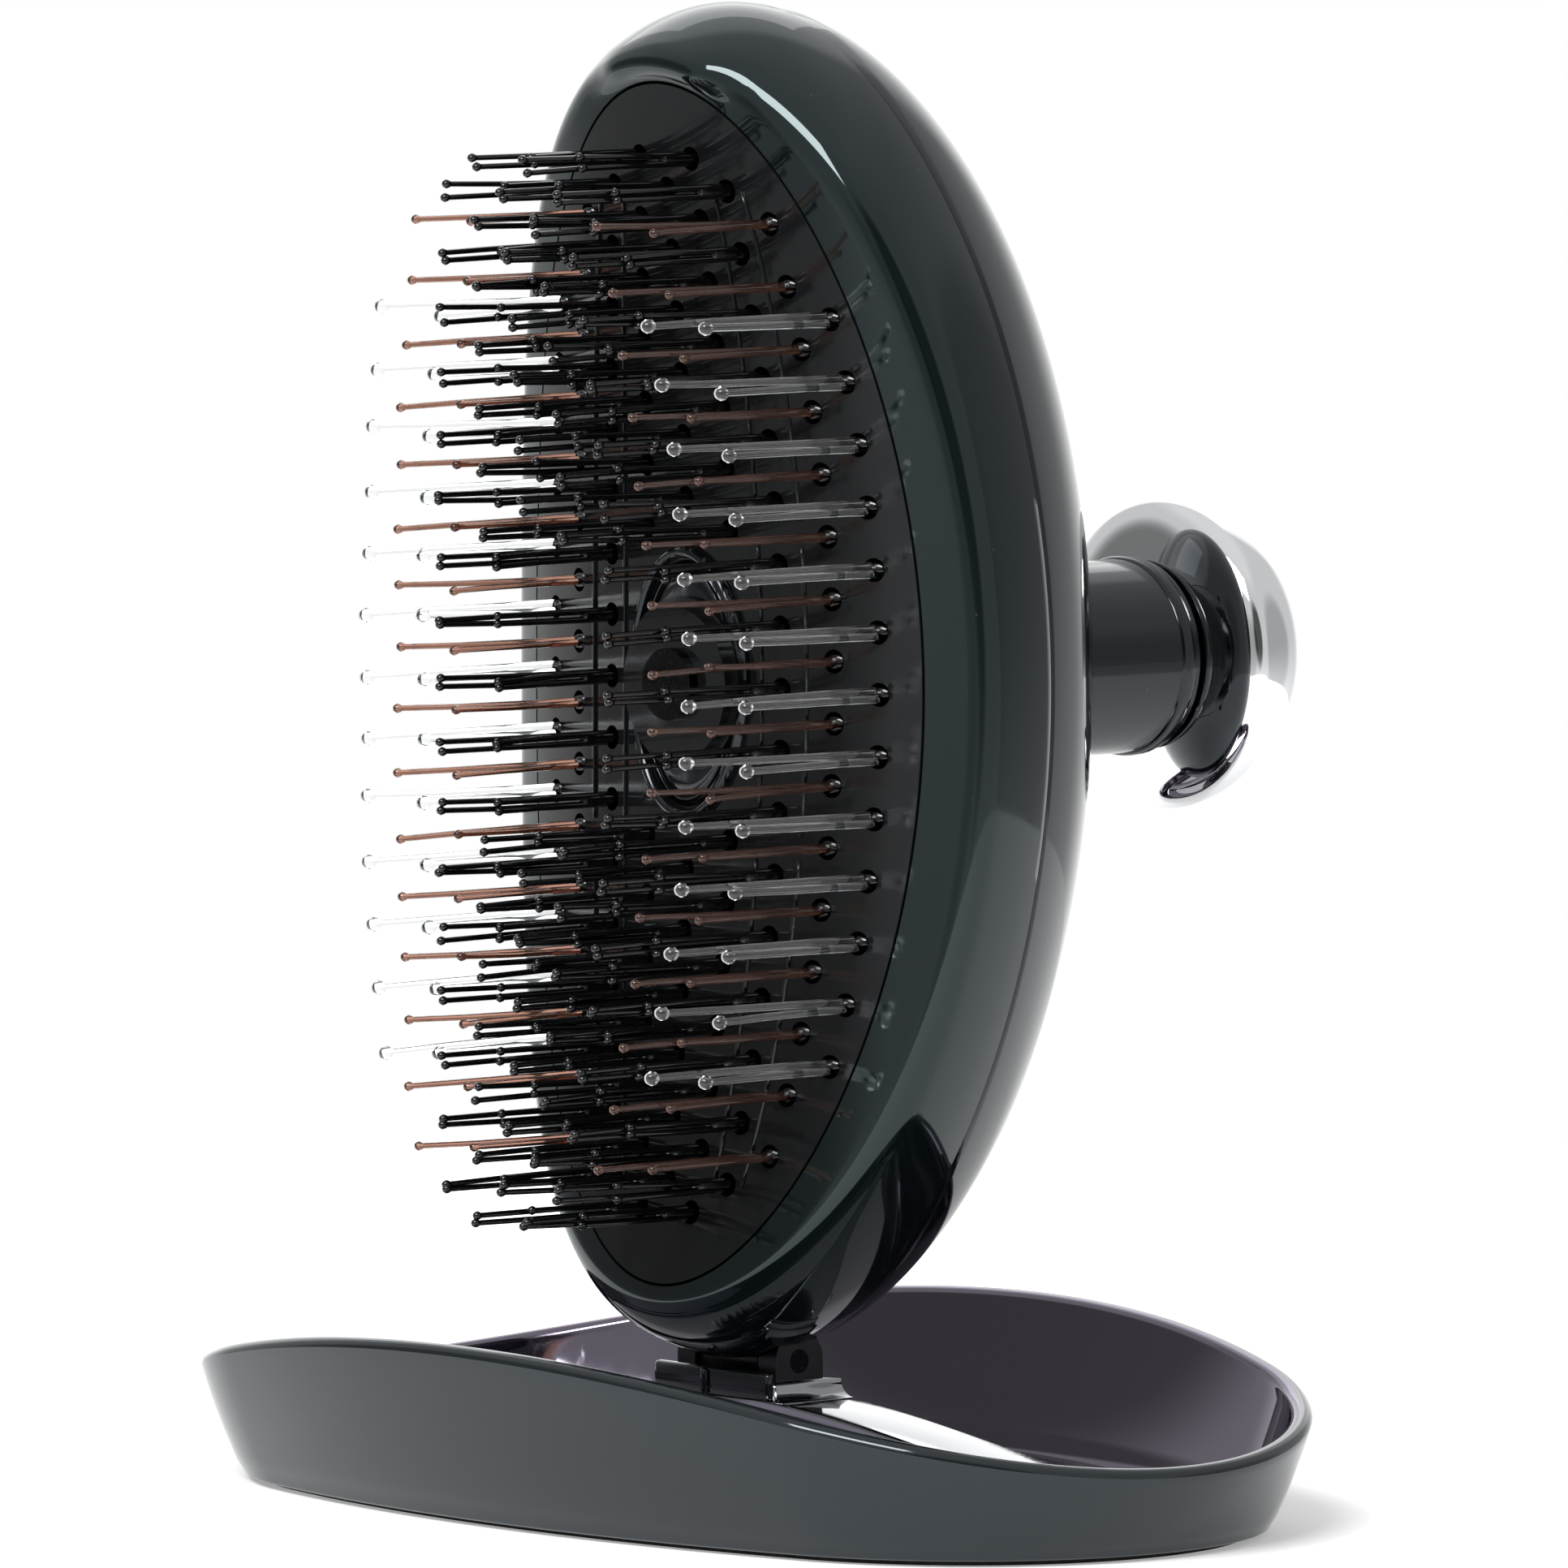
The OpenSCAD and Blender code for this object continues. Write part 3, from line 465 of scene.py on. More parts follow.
# %% [markdown]
# ## Head: ring and dome
# The head is an oval shell in two mouldings. The front ring carries the face: from the slit round
# the perforated plate it runs outwards flush with the plate, turns over a soft crest and goes back
# to the seam. The dome closes the back. Both follow half ellipsoids on the same oval, so a point
# is found from its turn round the oval and its depth: the oval shrinks by sqrt(1 - (z / depth)^2).
# The soft crest is a Bezier curve between the face and the side, 2.2 mm long on each arm. At the
# top of the head the crest swells forward into a low cap, so `lip` adds up to 2 mm there.

# %% Head forms
head_a, head_b = 56.3, 29.8          # half length and half width of the head
head_z, outline_y = 68.7, -1.9       # height of its middle, and place of its widest outline
back_depth, front_depth, shell_wall = 29.9, 25.0, 2.2
face_r, crown_r, face_d = 360.0, 72.0, 4.8
plate_a, plate_b, slit = 49.6, 24.3, 0.25
seam_r, seam_back = 180.0, 10.5
sleeve_r, tip_floor = 10.15, -50.2
cap_h, cap_reach, cap_fade = 2.0, 22, 13   # cap at the top: height, and degrees it spans and fades over
around = full_turn(288)
cos_t, sin_t = np.cos(around), np.sin(around)


def face_at(x, y):
    """Height of the brushing face: hollow along the head, crowned across it."""
    return face_d + drop(face_r, y) - drop(crown_r, x)


def shrink(z, inset=0.0):
    """Scale of the head's oval at depth z, for the form taken in by `inset`."""
    depth = np.where(z > 0, front_depth, back_depth) - inset
    return np.sqrt(np.clip(1 - (z / depth) ** 2, 0, 1))


def head_oval(scale, inset=0.0):
    """Plan point of the oval of half axes (b - inset, a - inset), times a scale for each turn."""
    return (head_b - inset) * scale * cos_t, (head_a - inset) * scale * sin_t


def stand(x, y, z):
    """Head's own axes (y along the head, z out of the face) to the standing object."""
    x, y, z = np.broadcast_arrays(x, y, z)
    return np.stack([x, outline_y - z, head_z + y], -1)


off_top = np.abs(np.degrees(around) - 90)
cap = np.clip((cap_reach - off_top) / cap_fade, 0, 1)
lip = cap_h * cap ** 2 * (3 - 2 * cap)
# crest and seam lie where two surfaces meet, so each is stepped towards both until it settles
crest = np.ones_like(around)
for _ in range(60):
    crest_z = face_at(*head_oval(crest)) + lip
    crest = 0.5 * crest + 0.5 * shrink(crest_z)
crest_x, crest_y = head_oval(crest)
seam_z = -seam_back + drop(seam_r, head_a * 0.97 * sin_t)
for _ in range(10):
    seam_z = -seam_back + drop(seam_r, head_oval(shrink(seam_z))[1])
print("crest from", crest_z.min().round(2), "to", crest_z.max().round(2), "mm, seam from",
      seam_z.min().round(2), "to", seam_z.max().round(2))

# %% Front ring
crest_arm = 2.2                      # length of the crest's curve on the face and on the side
land_t = 2.0                         # thickness of the ring behind the face
slit_x, slit_y = (plate_b + slit) * cos_t, (plate_a + slit) * sin_t
span = np.hypot(crest_x - slit_x, crest_y - slit_y)
face_share = np.clip(1 - crest_arm / span, 0.2, 1)
side_top = crest_z - crest_arm


def on_face(u):
    """Point at the fraction u of the way from the slit to the crest, on the face."""
    x, y = slit_x + u * (crest_x - slit_x), slit_y + u * (crest_y - slit_y)
    return stand(x, y, face_at(x, y) + lip * u ** 2)


def on_side(z, inset=0.0):
    """Point of the ring's side wall at depth z, taken in by `inset`."""
    x, y = head_oval(shrink(z, inset), inset)
    return stand(x, np.maximum(y, tip_floor) if inset > 1 else y, z)


# from the slit over the face, round the crest, down the side, round the seam's edge and back inside
start, corner, end = on_face(face_share), stand(crest_x, crest_y, crest_z), on_side(side_top)
loops = [stand(slit_x * 0.999, slit_y * 0.999, face_at(slit_x, slit_y) - 0.25)]
loops += [on_face(face_share * t) for t in (0.0, 0.03, 0.2, 0.4, 0.6, 0.8)]
loops += [(1 - t) ** 2 * start + 2 * t * (1 - t) * corner + t * t * end for t in np.linspace(0, 1, 15)]
loops += [on_side(side_top + t * (seam_z + 0.2 - side_top)) for t in np.linspace(0, 1, 12)[1:]]
loops += [on_side(seam_z + 0.05, 0.3), on_side(seam_z, 0.8), on_side(seam_z, shell_wall)]
land = face_at(*head_oval(shrink(crest_z), shell_wall)) - land_t
loops += [on_side(seam_z + t * (land - seam_z), shell_wall) for t in (0.3, 0.6, 0.9)]
in_x, in_y = head_oval(shrink(land, shell_wall), shell_wall)
in_y = np.maximum(in_y, tip_floor)
for t in (0.0, 0.5, 1.0):
    x, y = in_x + t * (slit_x - in_x), in_y + t * (slit_y - in_y)
    loops.append(stand(x, y, face_at(x, y) - land_t))
front_ring = piece("front_ring_gloss", *skin(np.stack(loops), closed_rows=True), "head", [ring_teal],
                   "ring_gloss", ("front_ring",))

# %% [markdown]
# ## Back dome
# The dome is the second moulding: half an ellipsoid behind the seam, with a round hole for the stem.
# A ball cut by a Boolean would leave long thin faces round the hole, and gloss shows them. So the
# rows run smoothly from the oval of the seam to the circle of the hole, and then back inside to give
# the wall. The edge at the seam is rounded over a tenth of a millimetre or two, which draws
# the thin bright line between the two mouldings.

# %% Back dome
hole_depth = 1.0                     # of the hole's edge, inside the dome's apex
hole_x, hole_y = sleeve_r * cos_t, sleeve_r * sin_t


def dome_at(u, inset=0.0):
    """Dome between seam (u = 0) and stem hole (u = 1): the plan point slides along a straight line
    from the oval to the hole's circle, and its depth is that of the ellipsoid under it."""
    scale = shrink(seam_z, inset)
    edge_x, edge_y = head_oval(scale, inset)
    x, y = edge_x + u * (hole_x - edge_x), edge_y + u * (hole_y - edge_y)
    fit = 1 - (x / (head_b - inset)) ** 2 - (y / (head_a - inset)) ** 2
    z = -(back_depth - inset) * np.sqrt(np.clip(fit, 1e-6, 1))
    return stand(x, np.maximum(y, tip_floor) if inset > 1 else y, z)


# round the seam's edge, over the dome to the hole, through it and back inside in larger steps
steps = 1 - np.cos(np.linspace(0, math.pi / 2, 44))
loops = [on_side(seam_z, shell_wall), on_side(seam_z, 0.8)]
loops += [on_side(seam_z - 0.02, 0.3), on_side(seam_z - 0.07, 0.13)]
loops += [dome_at(u) for u in steps[3:-1]]
loops += [dome_at(1.0) + np.array([0, -0.08, 0])]
loops += [stand(hole_x * 0.985, hole_y * 0.985, -(back_depth - hole_depth))]
loops += [dome_at(u, shell_wall) for u in steps[::-4]]
back_dome = piece("back_dome_gloss", *skin(np.stack(loops), closed_rows=True), "head", [shell_black],
                  "shell_gloss", ("back_shell",))

# %% [markdown]
# ## Notch for the hinge
# The two ears of the hinge block turn inside a notch in the head's lower tip. A Boolean cuts it
# from both mouldings: the cutter is a short cylinder round the tilt axis. The result is copied to
# a plain mesh and the cutter is thrown away, so no modifier stays on the finished pieces.

# %% Hinge notch
tilt_h, notch_r, notch_half = 12.4, 3.1, 6.75
sharp_from = 50                      # degrees between faces from which an edge stays sharp


def cylinder_x(radius, half, centre_z, sides=64):
    """Closed cylinder along X: loops at both ends and a pole in each."""
    a = full_turn(sides)
    ring = np.stack([0 * a, radius * np.cos(a), centre_z + radius * np.sin(a)], -1)
    grid = np.stack([ring + (-half, 0, 0), ring + (half, 0, 0)])
    return skin(grid, first_pole=(-half, 0, centre_z), last_pole=(half, 0, centre_z))


def cut_away(obj, points, faces):
    """Cuts a closed shape out of obj and keeps the result as obj's mesh."""
    before = mesh_volume(obj.data)
    cutter = placed("cutter", outward_mesh("cutter", points, faces))
    cut = obj.modifiers.new("notch", "BOOLEAN")
    cut.object, cut.operation, cut.solver = cutter, "DIFFERENCE", "EXACT"
    graph = bpy.context.evaluated_depsgraph_get()
    result = bpy.data.meshes.new_from_object(obj.evaluated_get(graph), depsgraph=graph)
    obj.modifiers.remove(cut)
    obj.data = result
    bpy.data.objects.remove(cutter)
    if mesh_volume(result) < 0:
        result.flip_normals()
    result.polygons.foreach_set("use_smooth", np.ones(len(result.polygons), dtype=bool))
    result.set_sharp_from_angle(angle=math.radians(sharp_from))
    print(obj.name, "cut from", round(before), "to", round(mesh_volume(result)), "mm3,",
          len(result.polygons), "faces")


for part in (front_ring, back_dome):
    cut_away(part, *cylinder_x(notch_r, notch_half, tilt_h))

# %% [markdown]
# ## Pins
# Each tuft grows from one dark collar: two pins in the clear and rose columns, four in the black
# ones, long and short together; round the clear and rose tufts that collar is only a low bead of
# painted shade in the opening. A pin is a lathe shape, so one profile of radius against height
# serves for all of them. Eight sides are enough for the thin ones; the clear ones have eighteen,
# because facets show in what they refract. Numpy places every copy in a single sum: base point, plus
# height along the pin, plus radius around it. A seeded random lean of a few tenths of a
# millimetre at the tip keeps the rows from looking stamped.

# %% Pin places
pitch, column_len = 5.12, 54.4
long_pin, short_pin = 20.9, 15.2
clear_x, rose_x, black_x, inner_x = 20.4, 16.1, 10.7, 5.3
whole_rows, half_rows = np.arange(-8, 9), np.arange(-9, 9) + 0.5
round_boss = 2                       # rows on each side of the middle that the boss takes up
columns = {"clear": [(clear_x, np.arange(-6, 7))], "rose": [(rose_x, half_rows[1:-1])],
           "black": [(black_x, whole_rows), (inner_x, half_rows[np.abs(half_rows) > round_boss]),
                     (0.0, whole_rows[np.abs(whole_rows) > round_boss])]}


def tuft_places(kind):
    """Places of one kind of tuft: x shrinks along the column as x0 * sqrt(1 - (y / column length)^2)."""
    found = []
    for x0, rows_of in columns[kind]:
        y = rows_of * pitch
        x = x0 * np.sqrt(1 - (y / column_len) ** 2)
        found += [np.stack([side * x, y], -1) for side in ((-1, 1) if x0 else (1,))]
    return np.concatenate(found)


def copies(body, first, last):
    """Points and faces of many closed shapes of one pattern: rows of loops, plus the two poles of each."""
    shape = skin(body[0], first_pole=first[0], last_pole=last[0])[1]
    per_copy = body.shape[1] * body.shape[2]
    block = np.concatenate([body.reshape(len(body), per_copy, 3), first[:, None], last[:, None]], 1)
    faces = [[v + i * (per_copy + 2) for v in f] for i in range(len(body)) for f in shape]
    return block.reshape(-1, 3), faces


root_depth = 2.2                     # of a pin's root, behind the face
ball_heights = np.array([1.02, 0.93, 0.72, 0.42, 0.13])   # down from the tip in diameters, neck first
most_drift, bend_power = 0.32, 2.6   # mm at the tip, and how late along the pin it leans


def pins(places, length, radius, ball, sides, lean, seed):
    """Lathe profile (height, radius) set at every place: shank, neck, then a ball closed by a pole.

    The ball's radius at a height is ball * sin(arccos(how far along the axis it lies)). A pin's
    axis drifts sideways by drift * (height / length) ^ 2.6, so that only its outer part leans.
    """
    base = face_at(places[:, 0], places[:, 1]) - root_depth
    tip = face_at(clear_x, places[:, 1]) + length
    h = (tip - base)[:, None]
    shank_up = np.array([0.0, 0.35, 0.7]) * (h - 2 * ball)
    up = np.concatenate([shank_up, h - 2 * ball * ball_heights], 1)
    shank_r = np.array([1.12, 1.0, 0.94, 0.9]) * radius
    ball_r = ball * np.sin(np.arccos(2 * (1 - ball_heights[1:]) - 1))
    r = np.concatenate([shank_r, np.maximum(ball_r, [0.9 * radius, 0, 0, 0])])
    a = full_turn(sides)
    leaning = np.random.default_rng(seed).normal(0, lean, (len(places), 2))
    drift = np.clip(leaning, -most_drift, most_drift)
    bend = (up / h) ** bend_power
    x = places[:, :1, None] + drift[:, :1, None] * bend[:, :, None] + r[None, :, None] * np.cos(a)
    y = places[:, 1:, None] + drift[:, 1:, None] * bend[:, :, None] + r[None, :, None] * np.sin(a)
    z = np.broadcast_to(base[:, None, None] + up[:, :, None], x.shape)
    root = stand(places[:, 0], places[:, 1], base)
    return copies(stand(x, y, z), root, stand(places[:, 0] + drift[:, 0], places[:, 1] + drift[:, 1], tip))


def joined(*parts):
    """Several point and face lists as one."""
    all_points, all_faces, count = [], [], 0
    for p, f in parts:
        all_points.append(p)
        all_faces += [[v + count for v in face] for face in f]
        count += len(p)
    return np.vstack(all_points), all_faces


clear, rose, black = (tuft_places(k) for k in ("clear", "rose", "black"))
print(len(clear), "clear,", len(rose), "rose and", len(black), "black tufts")

# %% Pins of each colour
# radius of shank and ball, sides, finish; then x, y, length, lean and seed of each pin of a tuft
clear_pins = (0.33, 0.62, 18, pin_clear,
              ((-0.25, 0.3, long_pin, 0.2, 3), (0.25, -0.3, short_pin, 0.15, 4)))
rose_pins = (0.27, 0.42, 8, pin_rose,
             ((-0.3, 0.1, long_pin, 0.25, 6), (0.3, -0.1, short_pin, 0.2, 7)))
black_pins = (0.26, 0.4, 8, pin_black,
              ((-0.28, 0.35, long_pin, 0.22, 8), (-0.26, -0.35, long_pin, 0.22, 9),
               (0.28, 0.35, short_pin, 0.2, 10), (0.28, -0.35, short_pin, 0.2, 11)))
for kind, tufts, (shank_r, ball_r, sides, finish, tuft) in (
        ("clear", clear, clear_pins), ("rose", rose, rose_pins), ("black", black, black_pins)):
    made = [pins(tufts + (dx, dy), length, shank_r, ball_r, sides, lean, seed)
            for dx, dy, length, lean, seed in tuft]
    piece(f"{kind}_pin_tufts", *joined(*made), "head", [finish], f"{kind}_pin_plastic", (f"{kind}_pins",))

# %% [markdown]
# ## Collars
# Round the black tufts the pins are moulded into one sleeve a few millimetres long, which stands up
# through the opening in the face. Round the clear and rose tufts a low black bead sits in the
# opening: it is painted shade, the dark of the opening round the pins' root. One dark ring per
# opening is also what makes the face read as perforated from afar, so sleeves and shade beads are a
# piece of their own, made like the pins: one lathe profile, copied to all places.

# %% Collars
collar_root = -2.3                   # lower end, behind the face


def collars(places, radius, height, sides=14):
    """Collar at every place: from the carrier to `height` above the face, rounded at its top."""
    a = full_turn(sides)
    floor = face_at(places[:, 0], places[:, 1])
    up = np.array([collar_root, 0.1, height - 0.35, height - 0.12, height])
    r = radius * np.array([1.12, 1.12, 1.0, 0.9, 0.62])
    x = places[:, 0, None, None] + r[None, :, None] * np.cos(a)
    y = places[:, 1, None, None] + r[None, :, None] * np.sin(a)
    z = np.broadcast_to(floor[:, None, None] + up[None, :, None], x.shape)
    low = stand(places[:, 0], places[:, 1], floor + collar_root)
    return copies(stand(x, y, z), low, stand(places[:, 0], places[:, 1], floor + height))


# the low beads round the clear and rose tufts are painted shade in the face's openings; the sleeves round the
# black tufts are real collars
piece("tuft_collars_and_shade_beads", *joined(
    collars(np.concatenate([clear, rose]), radius=0.52, height=0.4),
    collars(black, radius=0.58, height=3.4)), "head", [pin_black], "black_pin_plastic")

# %% [markdown]
# ## Collar and knob
# The knob is pressed to push the face plate out along the pins. Collar and knob are turned parts, so
# each is a lathe: a profile of radius against the distance along the press axis, carried round the
# axis. The knob is a ball flattened on the side of the head, whose chrome shows the dark dome as a
# crescent.

# %% Lathe along the press axis
def lathe(profile, sides=128):
    """Points (r cos a, distance, head centre + r sin a) for each (distance, radius) row, closed by poles."""
    a = full_turn(sides)
    d, r = np.array(profile, dtype=float).T
    grid = np.stack([r[:, None] * np.cos(a), np.broadcast_to(d[:, None], (len(d), sides)),
                     head_z + r[:, None] * np.sin(a)], -1)
    return skin(grid, first_pole=(0, d[0], head_z), last_pole=(0, d[-1], head_z))


def round_corner(d, r, radius, start, end, steps=6):
    """Arc of points round (d, r) between two angles in degrees; angle 0 points along the axis."""
    a = np.radians(np.linspace(start, end, steps))
    return np.stack([d + radius * np.cos(a), r + radius * np.sin(a)], -1).tolist()


# %% Collar ring and knob
knob_r, knob_y = 13.2, 46.2
knob_front, knob_back = 3.5, 10.05   # half thickness towards the head and away from it
ring_near, ring_far, ring_bore = 41.5, 42.1, 7.0
ring_corner, corner_r = 7.8, 0.65
collar_profile = [[ring_near - 0.7, ring_bore], *round_corner(ring_near, ring_corner, corner_r, 180, 90),
                  *round_corner(ring_far, ring_corner, corner_r, 90, 0), [ring_far + corner_r, ring_bore]]
piece("stem_collar_ring", *lathe(collar_profile), "ejector", [stem_black], "stem_plastic", ("knob_collar",))
turn = np.linspace(0, math.pi, 61)[1:-1]
half_thick = np.where(turn < math.pi / 2, knob_front, knob_back)
ball = np.stack([knob_y - half_thick * np.cos(turn), knob_r * np.sin(turn)], -1)
piece("knob_chromed_ball", *lathe(ball, 160), "ejector", [chrome], "knob_chrome", ("knob", "knob_core"))

# %% [markdown]
# ## Return spring
# A compression spring of round wire brings the knob back. A screw modifier could turn a circle into a
# coil, but a tube carried along a helix is one line of sums and gives the wire's ends too.

# %% Spring
def tube(rows):
    """Skin of rows of loops, closed at both ends by a fan to the middle of the end loop."""
    return skin(rows, first_pole=rows[0].mean(0), last_pole=rows[-1].mean(0))


def helix(radius, wire, turns_of, y0, y1, steps=26, sides=8):
    """Helix point (r cos t, y, r sin t) plus a wire circle across it, in the radial and axial directions."""
    t = np.linspace(0, 2 * math.pi * turns_of, int(steps * turns_of) + 1)
    a = full_turn(sides)
    reach = radius + wire * np.cos(a)
    along = (y0 + (y1 - y0) * t / t[-1])[:, None] + wire * np.sin(a)
    return np.stack([reach * np.cos(t)[:, None], along, head_z + reach * np.sin(t)[:, None]], -1)


coil_r, wire_r, coil_turns, press_travel = 7.2, 0.5, 6, 10
spring_low, spring_high = (np.array(c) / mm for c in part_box("return_spring"))
coil = helix(coil_r, wire_r, coil_turns, spring_low[1] + wire_r, spring_high[1] - wire_r)
press_spring = piece("press_spring_coil", *tube(coil), "head", [spring_steel], "spring_steel",
                     ("return_spring",))
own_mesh(press_spring)

# %% [markdown]
# ## Bridge strap
# The bridge is an arched bar of polished steel. Its path is one cosine wave, and its section is a
# rectangle with small rounded corners, which turn the two long edges into fine bright lines.

# %% Strap
arm_x, arm_z, strap_top, strap_end, strap_wid, strap_t = 47.072, 4.1, 9.6, 4.5, 7.5, 1.4
half_wave = arm_x + 5.5              # from the top of the arch to where it would level out


def arch_z(x):
    """Top of the arch: end height + rise * (1 + cos(pi x / half wave)) / 2."""
    return strap_end + (strap_top - strap_end) * (1 + np.cos(math.pi * x / half_wave)) / 2


def section(width, height, radius, steps=5):
    """Rectangle with round corners as (across, up) points, its top at up = 0."""
    out = []
    for cx, cz, start in ((1, 0, 0), (-1, 0, 90), (-1, -1, 180), (1, -1, 270)):
        a = np.radians(np.linspace(start, start + 90, steps))
        out.append(np.stack([cx * (width / 2 - radius) + radius * np.cos(a),
                             (-radius if cz == 0 else radius - height) + radius * np.sin(a)], -1))
    return np.concatenate(out)


strap_edge, free_end, hinge_end = 0.3, 1.7, 0.2   # edge radius, and how far the bar runs past +-arm_x
across, up = section(strap_wid, strap_t, strap_edge).T
path_x = np.linspace(-arm_x - free_end, arm_x + hinge_end, 97)
slope = np.gradient(arch_z(path_x), path_x)
lean_x, lean_z = -slope / np.hypot(1, slope), 1 / np.hypot(1, slope)
strap_y = np.broadcast_to(across, (len(path_x), len(across)))
strap_grid = np.stack([path_x[:, None] + lean_x[:, None] * up, strap_y,
                       arch_z(path_x)[:, None] + lean_z[:, None] * up], -1)


def bar_y(profile_x, profile_z, y0, y1, soft=0.25):
    """Side profile carried along Y, its two ends taken in by `soft` for a rounded edge."""
    cx, cz = profile_x.mean(), profile_z.mean()
    reach = np.hypot(profile_x - cx, profile_z - cz)
    y = np.array([y0, y0 + 0.3 * soft, y0 + soft, y1 - soft, y1 - 0.3 * soft, y1])
    inset = soft * np.array([1, 0.3, 0, 0, 0.3, 1])
    keep = 1 - inset[:, None] / reach
    rows = np.stack([cx + (profile_x - cx) * keep, np.broadcast_to(y[:, None], keep.shape),
                     cz + (profile_z - cz) * keep], -1)
    return skin(rows, first_pole=(cx, y0, cz), last_pole=(cx, y1, cz))


knuckle_r = 1.8
knuckle_turn = full_turn(40)
knuckle = bar_y(arm_x + knuckle_r * np.cos(knuckle_turn), arm_z + knuckle_r * np.sin(knuckle_turn),
                -strap_wid / 2, strap_wid / 2)
piece("strap_polished_bar", *joined(tube(strap_grid), knuckle), "arm", [strap_steel], "strap_lacquer",
      ("arm_strap",))

# %% [markdown]
# ## Ears of the bridge's hinge
# The bridge lifts about a pin at one end of the tray. Two ears grow out of the floor and hold the
# pin on both sides of the knuckle. They are moulded with the tray, so they take its inside finish
# and stay with it when the bridge moves. An ear is a slab with a half round top.

# %% Ears for the bridge's pin
ear_r, ear_in, ear_out = 2.1, 4.0, 6.2
ear_mid, ear_foot = 3.0, floor_top - 0.1   # heights half way down its straight sides and at their end
ear_turn = np.linspace(0, math.pi, 17)
ear_x = np.concatenate([arm_x + ear_r * np.cos(ear_turn), arm_x + ear_r * np.array([-1, -1, 1, 1])])
ear_z = np.concatenate([arm_z + ear_r * np.sin(ear_turn), [ear_mid, ear_foot, ear_foot, ear_mid]])
ears = [bar_y(ear_x, ear_z, *ends, soft=0.2) for ends in ((ear_in, ear_out), (-ear_out, -ear_in))]
piece("strap_pin_ears", *joined(*ears), "tray", [tray_plum], "tray_lacquer")

# %% [markdown]
# ## Apron and foot of the hinge block
# A small apron with a centre rib closes the block's front, so that no hair gets at the pin, and the
# block stands on the bridge in a hollow-curved polished foot. The apron is a rounded bar across; the
# foot is a rectangle that widens downwards along a quarter of an ellipse.

# %% Apron and foot
apron_y, apron_z, apron_half = (-4.35, -3.6), (9.45, 11.75), 7.2
rib_x, rib_y, rib_z = (-1.0, -0.3), (-4.75, -4.2), (9.3, 11.6)
foot_low, foot_high = 9.3, 10.8
neck_x, neck_y, flare_x, flare_y = 7.38, 3.75, 1.4, 0.3   # half sizes at the top, and their growth down
corner_cut = 0.2


def cut_box(u, v, c=corner_cut):
    """Closed profile of a rectangle between two values of u and two of v, its corners cut off."""
    lo_u, hi_u, lo_v, hi_v = *u, *v
    ring = [(hi_u, hi_v - c), (hi_u - c, hi_v), (lo_u + c, hi_v), (lo_u, hi_v - c),
            (lo_u, lo_v + c), (lo_u + c, lo_v), (hi_u - c, lo_v), (hi_u, lo_v + c)]
    return np.array(ring).T


# both bars are made along Y, then their axes are swapped: the apron lies along X, the rib stands
apron_bar, apron_faces = bar_y(*cut_box(apron_y, apron_z), -apron_half, apron_half, soft=0.3)
rib_bar, rib_faces = bar_y(*cut_box(rib_x, rib_y), *rib_z, soft=0.15)
piece("hinge_apron", *joined((apron_bar[:, [1, 0, 2]], apron_faces), (rib_bar[:, [0, 2, 1]], rib_faces)),
      "arm", [stem_black], "black_plastic")
foot_rows = []
for t in np.linspace(0, math.pi / 2, 8):
    long, wide = neck_x + flare_x * (1 - math.sin(t)), neck_y + flare_y * (1 - math.sin(t))
    height = foot_low + (foot_high - foot_low) * (1 - math.cos(t))
    foot_rows.append(np.stack([*cut_box((-long, long), (-wide, wide)), np.full(8, height)], -1))
foot_shape = skin(np.stack(foot_rows), first_pole=(0, 0, foot_low), last_pole=(0, 0, foot_high))
piece("hinge_foot", *foot_shape, "arm", [strap_steel], "strap_lacquer")

# %% [markdown]
# ## Relief on the face plate
# The plate is a thin moulding, so it is stiffened: an oval ridge 0.9 mm high stands round the centre
# screw, with a finer one inside it round a shallow boss, and ribs of a quarter of a millimetre run
# along the plate between the columns of pins. They are laid on the face by the face's own formula,
# so none floats or sinks. A bent wire clip beside the screw, a little clear of the boss, locks it.

# %% Ridge and ribs
under_face = 0.3                     # how far ribs and boss reach into the plate


def ridge(half_x, half_y, wide, high, steps=72, sunk=0.02, root=0.4):
    """Closed ridge on the face along an oval: its section is a half ellipse `wide` across, `high` tall."""
    a = full_turn(steps)
    rows = []
    for b in np.radians(np.linspace(0, 180, 7)):
        k = wide / 2 * math.cos(b)
        x, y = (half_x + k) * np.cos(a), (half_y + k) * np.sin(a)
        rows.append(stand(x, y, face_at(x, y) + high * math.sin(b) - sunk))
    x, y = half_x * np.cos(a), half_y * np.sin(a)
    rows.append(stand(x, y, face_at(x, y) - root))
    return skin(np.stack(rows), closed_rows=True)


def rib(x0, y0, y1, wide=0.3, high=0.25, steps=24):
    """Straight low rib that follows a column of pins, x = x0 * sqrt(1 - (y / column length)^2)."""
    y = np.linspace(y0, y1, steps)[:, None]
    x = x0 * np.sqrt(1 - (y / column_len) ** 2)
    off = wide * np.array([-0.5, -0.5, -0.25, 0.25, 0.5, 0.5])
    above = np.array([-under_face, 0.5 * high, high, high, 0.5 * high, -under_face])
    return tube(stand(x + off, y, face_at(x + off, y) + above))


rib_columns, rib_spans = (8.6, 13.4), ((-41, -14), (-12, 12), (14, 41))
ribs = [rib(side * x0, *ends) for side in (-1, 1) for x0 in rib_columns for ends in rib_spans]
piece("plate_ribs", *joined(*ribs), "ejector", [face_gloss], "face_plastic")

